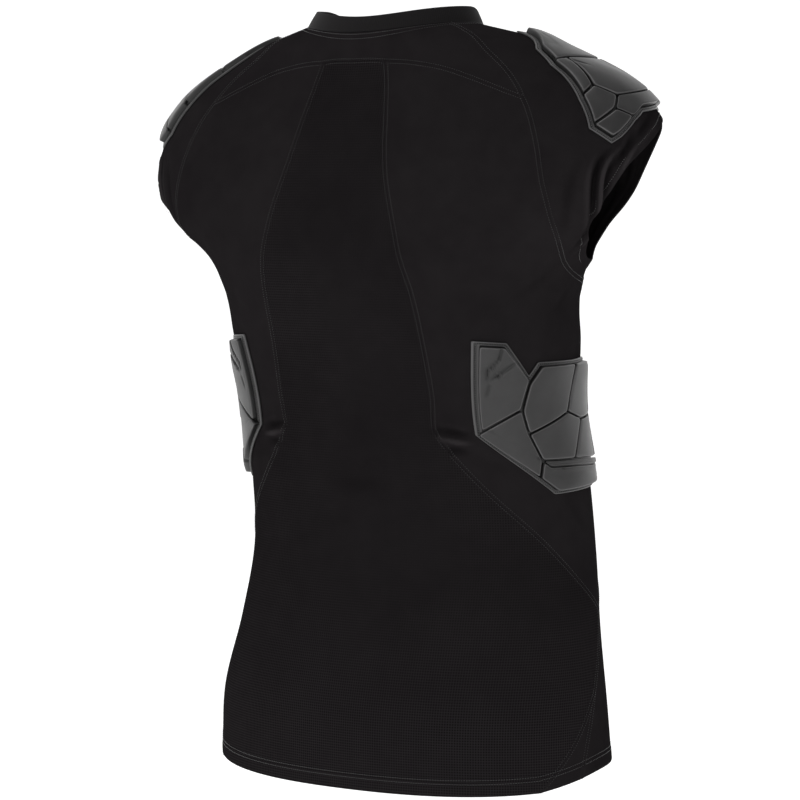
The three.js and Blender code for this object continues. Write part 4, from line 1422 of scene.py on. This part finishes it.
def add_floor(moulding, outline, plane, widths, step=2.4):
    """The thin foam web under the blocks: a grid drawn in to the border."""
    loop = inset_corners(plane.flat(outline), widths + 0.5)
    low = loop.min(axis=0) - step
    high = loop.max(axis=0) + step
    x = np.arange(low[0], high[0] + step, step)
    y = np.arange(high[1], low[1] - step, -step)
    flat = np.stack(np.meshgrid(x, y), axis=-1)
    point, gap = nearest_on(loop, flat)
    inside = inside_loop(loop, flat)
    near = (gap < 0.75 * step) & (~inside | (gap < 0.3 * step))
    flat = np.where(near[..., None], point, flat)
    used = (inside | near).reshape(-1)
    quads = quad_faces(len(y), len(x))
    quads = quads[used[quads].all(axis=1)]
    touched = np.unique(quads)
    renumber = np.zeros(used.size, dtype=int)
    renumber[touched] = np.arange(len(touched))
    quads = renumber[quads]
    flat = flat.reshape(-1, 2)[touched]
    count = len(flat)
    edges = np.concatenate([quads[:, [i, (i + 1) % 4]] for i in range(4)])
    keys = np.sort(edges, axis=1)
    _, index, repeats = np.unique(keys, axis=0, return_index=True, return_counts=True)
    border = edges[index[repeats == 1]]
    start, end = border[:, 0], border[:, 1]
    walls = np.stack([end, start, start + count, end + count], axis=1)
    faces = np.vstack([quads, quads[:, ::-1] + count, walls])
    places = plane.places(np.vstack([flat, flat]))
    heights = np.repeat([PAD_FLOOR, 0.0], count) + PAD_LIFT
    # The floor's tones are all zero, the darkest: painted shade in the recess between the blocks.
    moulding.add(places, heights, np.zeros(2 * count), [faces])


def outline_of(corners):
    keys = [key for key in corners if key.startswith("edge")]
    outline = np.array([(corners[key][1], corners[key][0]) for key in keys], dtype=float)
    plane = Plane(outline)
    if loop_area(plane.flat(outline)) < 0:
        outline = outline[::-1]
        keys = keys[::-1]
    return keys, outline, plane


def make_pad(name, node, corners, blocks, flange, cuts, flip):
    """A moulded pad: stitched border, thin floor and raised blocks with grooves between them."""
    keys, outline, plane = outline_of(corners)
    ends = zip(keys, keys[1:] + keys[:1])
    widths = np.array([flange(first, second) for first, second in ends])
    neighbours = {frozenset(pair) for pair in zip(keys, keys[1:] + keys[:1])}
    moulding = Moulding()
    add_flange(moulding, outline, plane, widths)
    add_floor(moulding, outline, plane, widths)
    for number, block in enumerate(blocks):
        insets = []
        for first, second in zip(block, block[1:] + block[:1]):
            pair = frozenset((first, second))
            if pair in neighbours:
                insets.append(flange(first, second) - 0.35)
            else:
                insets.append(GROOVES.get(pair, GROOVE_HALF))
        add_block(moulding, corners, block, insets, cuts, number * 2.4)
    made = moulding.make(name, flip)
    return keep(made, node)


def rib_flange(first, second):
    wide = {first, second} == {"edgeBack", "edgeTopBack"}
    return RIB_FLANGE_WIDE if wide else FLANGE_WIDTH


def shoulder_flange(first, second):
    return SHOULDER_FLANGE


# Distance in from the foot, height above the cloth side and tone of each ring of a block. The tone is
# painted light: low at the foot for painted shade in the grooves, highest on the edge ring for a
# painted highlight
BLOCK_PROFILE = [
    (0.0, 0.5, 0.0),
    (0.1, 2.4, 0.05),
    (0.25, 4.8, 0.2),
    (0.45, 5.8, 0.6),
    (0.7, 6.2, 1.0),
    (1.25, 6.4, 0.95),
    (1.7, 6.5, 0.53),
    (3.4, 6.6, 0.5),
]
# The same for the border's closed profile, from its outer edge inwards and back underneath. Its tones
# are painted light: a painted highlight on the two beads and painted shade in the groove between them
FLANGE_PROFILE = [
    (0.0, 0.0, 0.3),
    (0.0, 0.9, 0.5),
    (0.25, 1.4, 0.95),
    (0.85, 1.6, 0.95),
    (1.15, 1.6, 0.5),
    (1.4, 1.5, 0.45),
    (1.75, 1.05, 0.0),
    (2.1, 1.5, 0.45),
    (2.6, 1.6, 0.5),
    (2.9, 1.65, 0.95),
    (3.4, 1.55, 0.95),
    (3.6, 1.2, 0.2),
    (3.6, 0.0, 0.0),
]
FLANGE_WIDTH = 3.6
RIB_FLANGE_WIDE = 7.8
SHOULDER_FLANGE = 4.6
# Wider or narrower grooves beside some sides of the blocks
GROOVES = {
    frozenset(("edgeNotch", "spineHigh")): 1.1,
    frozenset(("bandBack", "bandMiddle")): 0.5,
    frozenset(("bandMiddle", "bandFront")): 0.5,
    frozenset(("bandFront", "edgeFrontLow")): 0.5,
}
# Short grooves inside blocks, as level, angle to level, angle, with depth and half width
RIB_CUTS = [
    (-292.5, 66.0, -303, 65.0, 1.6, 0.7),
    (-302, 65.2, -312, 62.0, 1.6, 0.7),
    (-311, 62.0, -321, 62.0, 1.4, 0.7),
    (-306.5, 69.5, -321.5, 62.5, 1.9, 0.9),
    (-325.5, 62.5, -336.5, 61.5, 0.9, 0.7),
    (-369, 63.0, -366, 59.5, 0.5, 0.7),
    (-392, 74.0, -399, 77.0, 0.7, 0.7),
    (-404, 81.0, -411, 79.0, 0.7, 0.7),
]
SHOULDER_CUTS = [
    (-40, 80.5, -47, 83.5, 0.6, 0.8),
    (-46, 90.0, -58, 93.0, 0.35, 2.4),
    (-20, 88.0, -31, 84.0, 0.35, 2.4),
]


def make_pads():
    kinds = [
        ("rib_pad", RIB_CORNERS, RIB_BLOCKS, rib_flange, RIB_CUTS),
        ("shoulder_pad", SHOULDER_CORNERS, SHOULDER_BLOCKS, shoulder_flange, SHOULDER_CUTS),
    ]
    stitches = Stitches()
    for kind, corners, blocks, flange, cuts in kinds:
        keys, outline, plane = outline_of(corners)
        widths = np.array([flange(a, b) for a, b in zip(keys, keys[1:] + keys[:1])])
        line_places = rounded_ring(plane.flat(outline), widths * 0.49, 1.0, np.full(len(keys), 12))
        line_places = plane.places(np.vstack([line_places, line_places[:1]]))
        for side in ("left", "right"):
            flip = side == "right"
            name = f"{kind}_foam_{side}"
            made = make_pad(name, f"{kind}_{side}", corners, blocks, flange, cuts, flip)
            line, normal = on_cloth(line_places)
            if flip:
                line, normal = flip_line(line, normal)
            stitches.along(line, normal, 0.0, PAD_LIFT + 1.6, 2.2, 1.3, 0.4)
    return stitches.make("pad_stitches", PAD_THREAD, "knit_cloth")


# Studio, in metres

FLOOR_LEVEL = -1.1
FLOOR_REACH = 3.4
CURVE_RADIUS = 4.0


def make_area_light(name, place, aim, width, height, power):
    data = bpy.data.lights.new(name, "AREA")
    data.shape = "RECTANGLE"
    data.size = width
    data.size_y = height
    data.energy = power
    light = bpy.data.objects.new(name, data)
    light.location = place
    light.rotation_euler = (Vector(aim) - Vector(place)).to_track_quat("-Z", "Y").to_euler()
    bpy.context.scene.collection.objects.link(light)


def make_stage():
    """Pale floor that curves up into a backdrop, farther out than a camera on any side."""
    away = Vector((0.53, -0.848, 0.0))
    side = Vector((0.848, 0.53, 0.0))
    profile = [(-15.0, FLOOR_LEVEL), (FLOOR_REACH, FLOOR_LEVEL)]
    for k in range(1, 17):
        turn = math.pi / 2 * k / 16
        along = FLOOR_REACH + CURVE_RADIUS * math.sin(turn)
        profile.append((along, FLOOR_LEVEL + CURVE_RADIUS * (1 - math.cos(turn))))
    profile.append((FLOOR_REACH + CURVE_RADIUS, 10.6))
    points = []
    for across in (-18.0, 18.0):
        for along, height in profile:
            place = away * along + side * across
            points.append((place.x / MM, place.y / MM, height / MM))
    count = len(profile)
    faces = [(i, i + 1, count + i + 1, count + i) for i in range(count - 1)]
    material, tree, shader = new_material("studio_paper")
    place = tree.nodes.new("ShaderNodeTexCoord")
    tone = noise_node(tree, place.outputs["Object"], 0.7, 2.0)
    colour = mix_colour(tree, tone, (0.86, 0.86, 0.86), (0.9, 0.9, 0.9))
    tree.links.new(colour, shader.inputs["Base Color"])
    shader.inputs["Roughness"].default_value = 0.9
    shader.inputs["Emission Color"].default_value = (1.0, 1.0, 1.0, 1.0)
    shader.inputs["Emission Strength"].default_value = 0.55
    stage = make_object("studio_stage", np.array(points), [np.array(faces)], material)


def make_lights():
    world = bpy.data.worlds.new("studio_world")
    world.use_nodes = True
    background = world.node_tree.nodes["Background"]
    background.inputs["Color"].default_value = (1.0, 1.0, 1.0, 1.0)
    background.inputs["Strength"].default_value = 0.42
    scene = bpy.context.scene
    scene.world = world
    scene.view_settings.view_transform = "Standard"
    middle = (0.0, 0.0, -0.3)
    make_area_light("key", (2.0, 1.7, 0.9), middle, 1.2, 2.0, 14.0)
    make_area_light("fill", (-1.4, 2.4, 0.2), middle, 1.4, 1.8, 17.0)
    make_area_light("top", (0.2, 0.3, 1.9), middle, 1.4, 1.4, 10.0)


make_back()
make_front()
make_yoke()
for flip_side in (False, True):
    make_side(flip_side)
    make_gusset(flip_side)
    make_sleeve(flip_side)
make_collar()
make_seam_stitches()
make_edge_stitches()
make_pads()

make_stage()
make_lights()
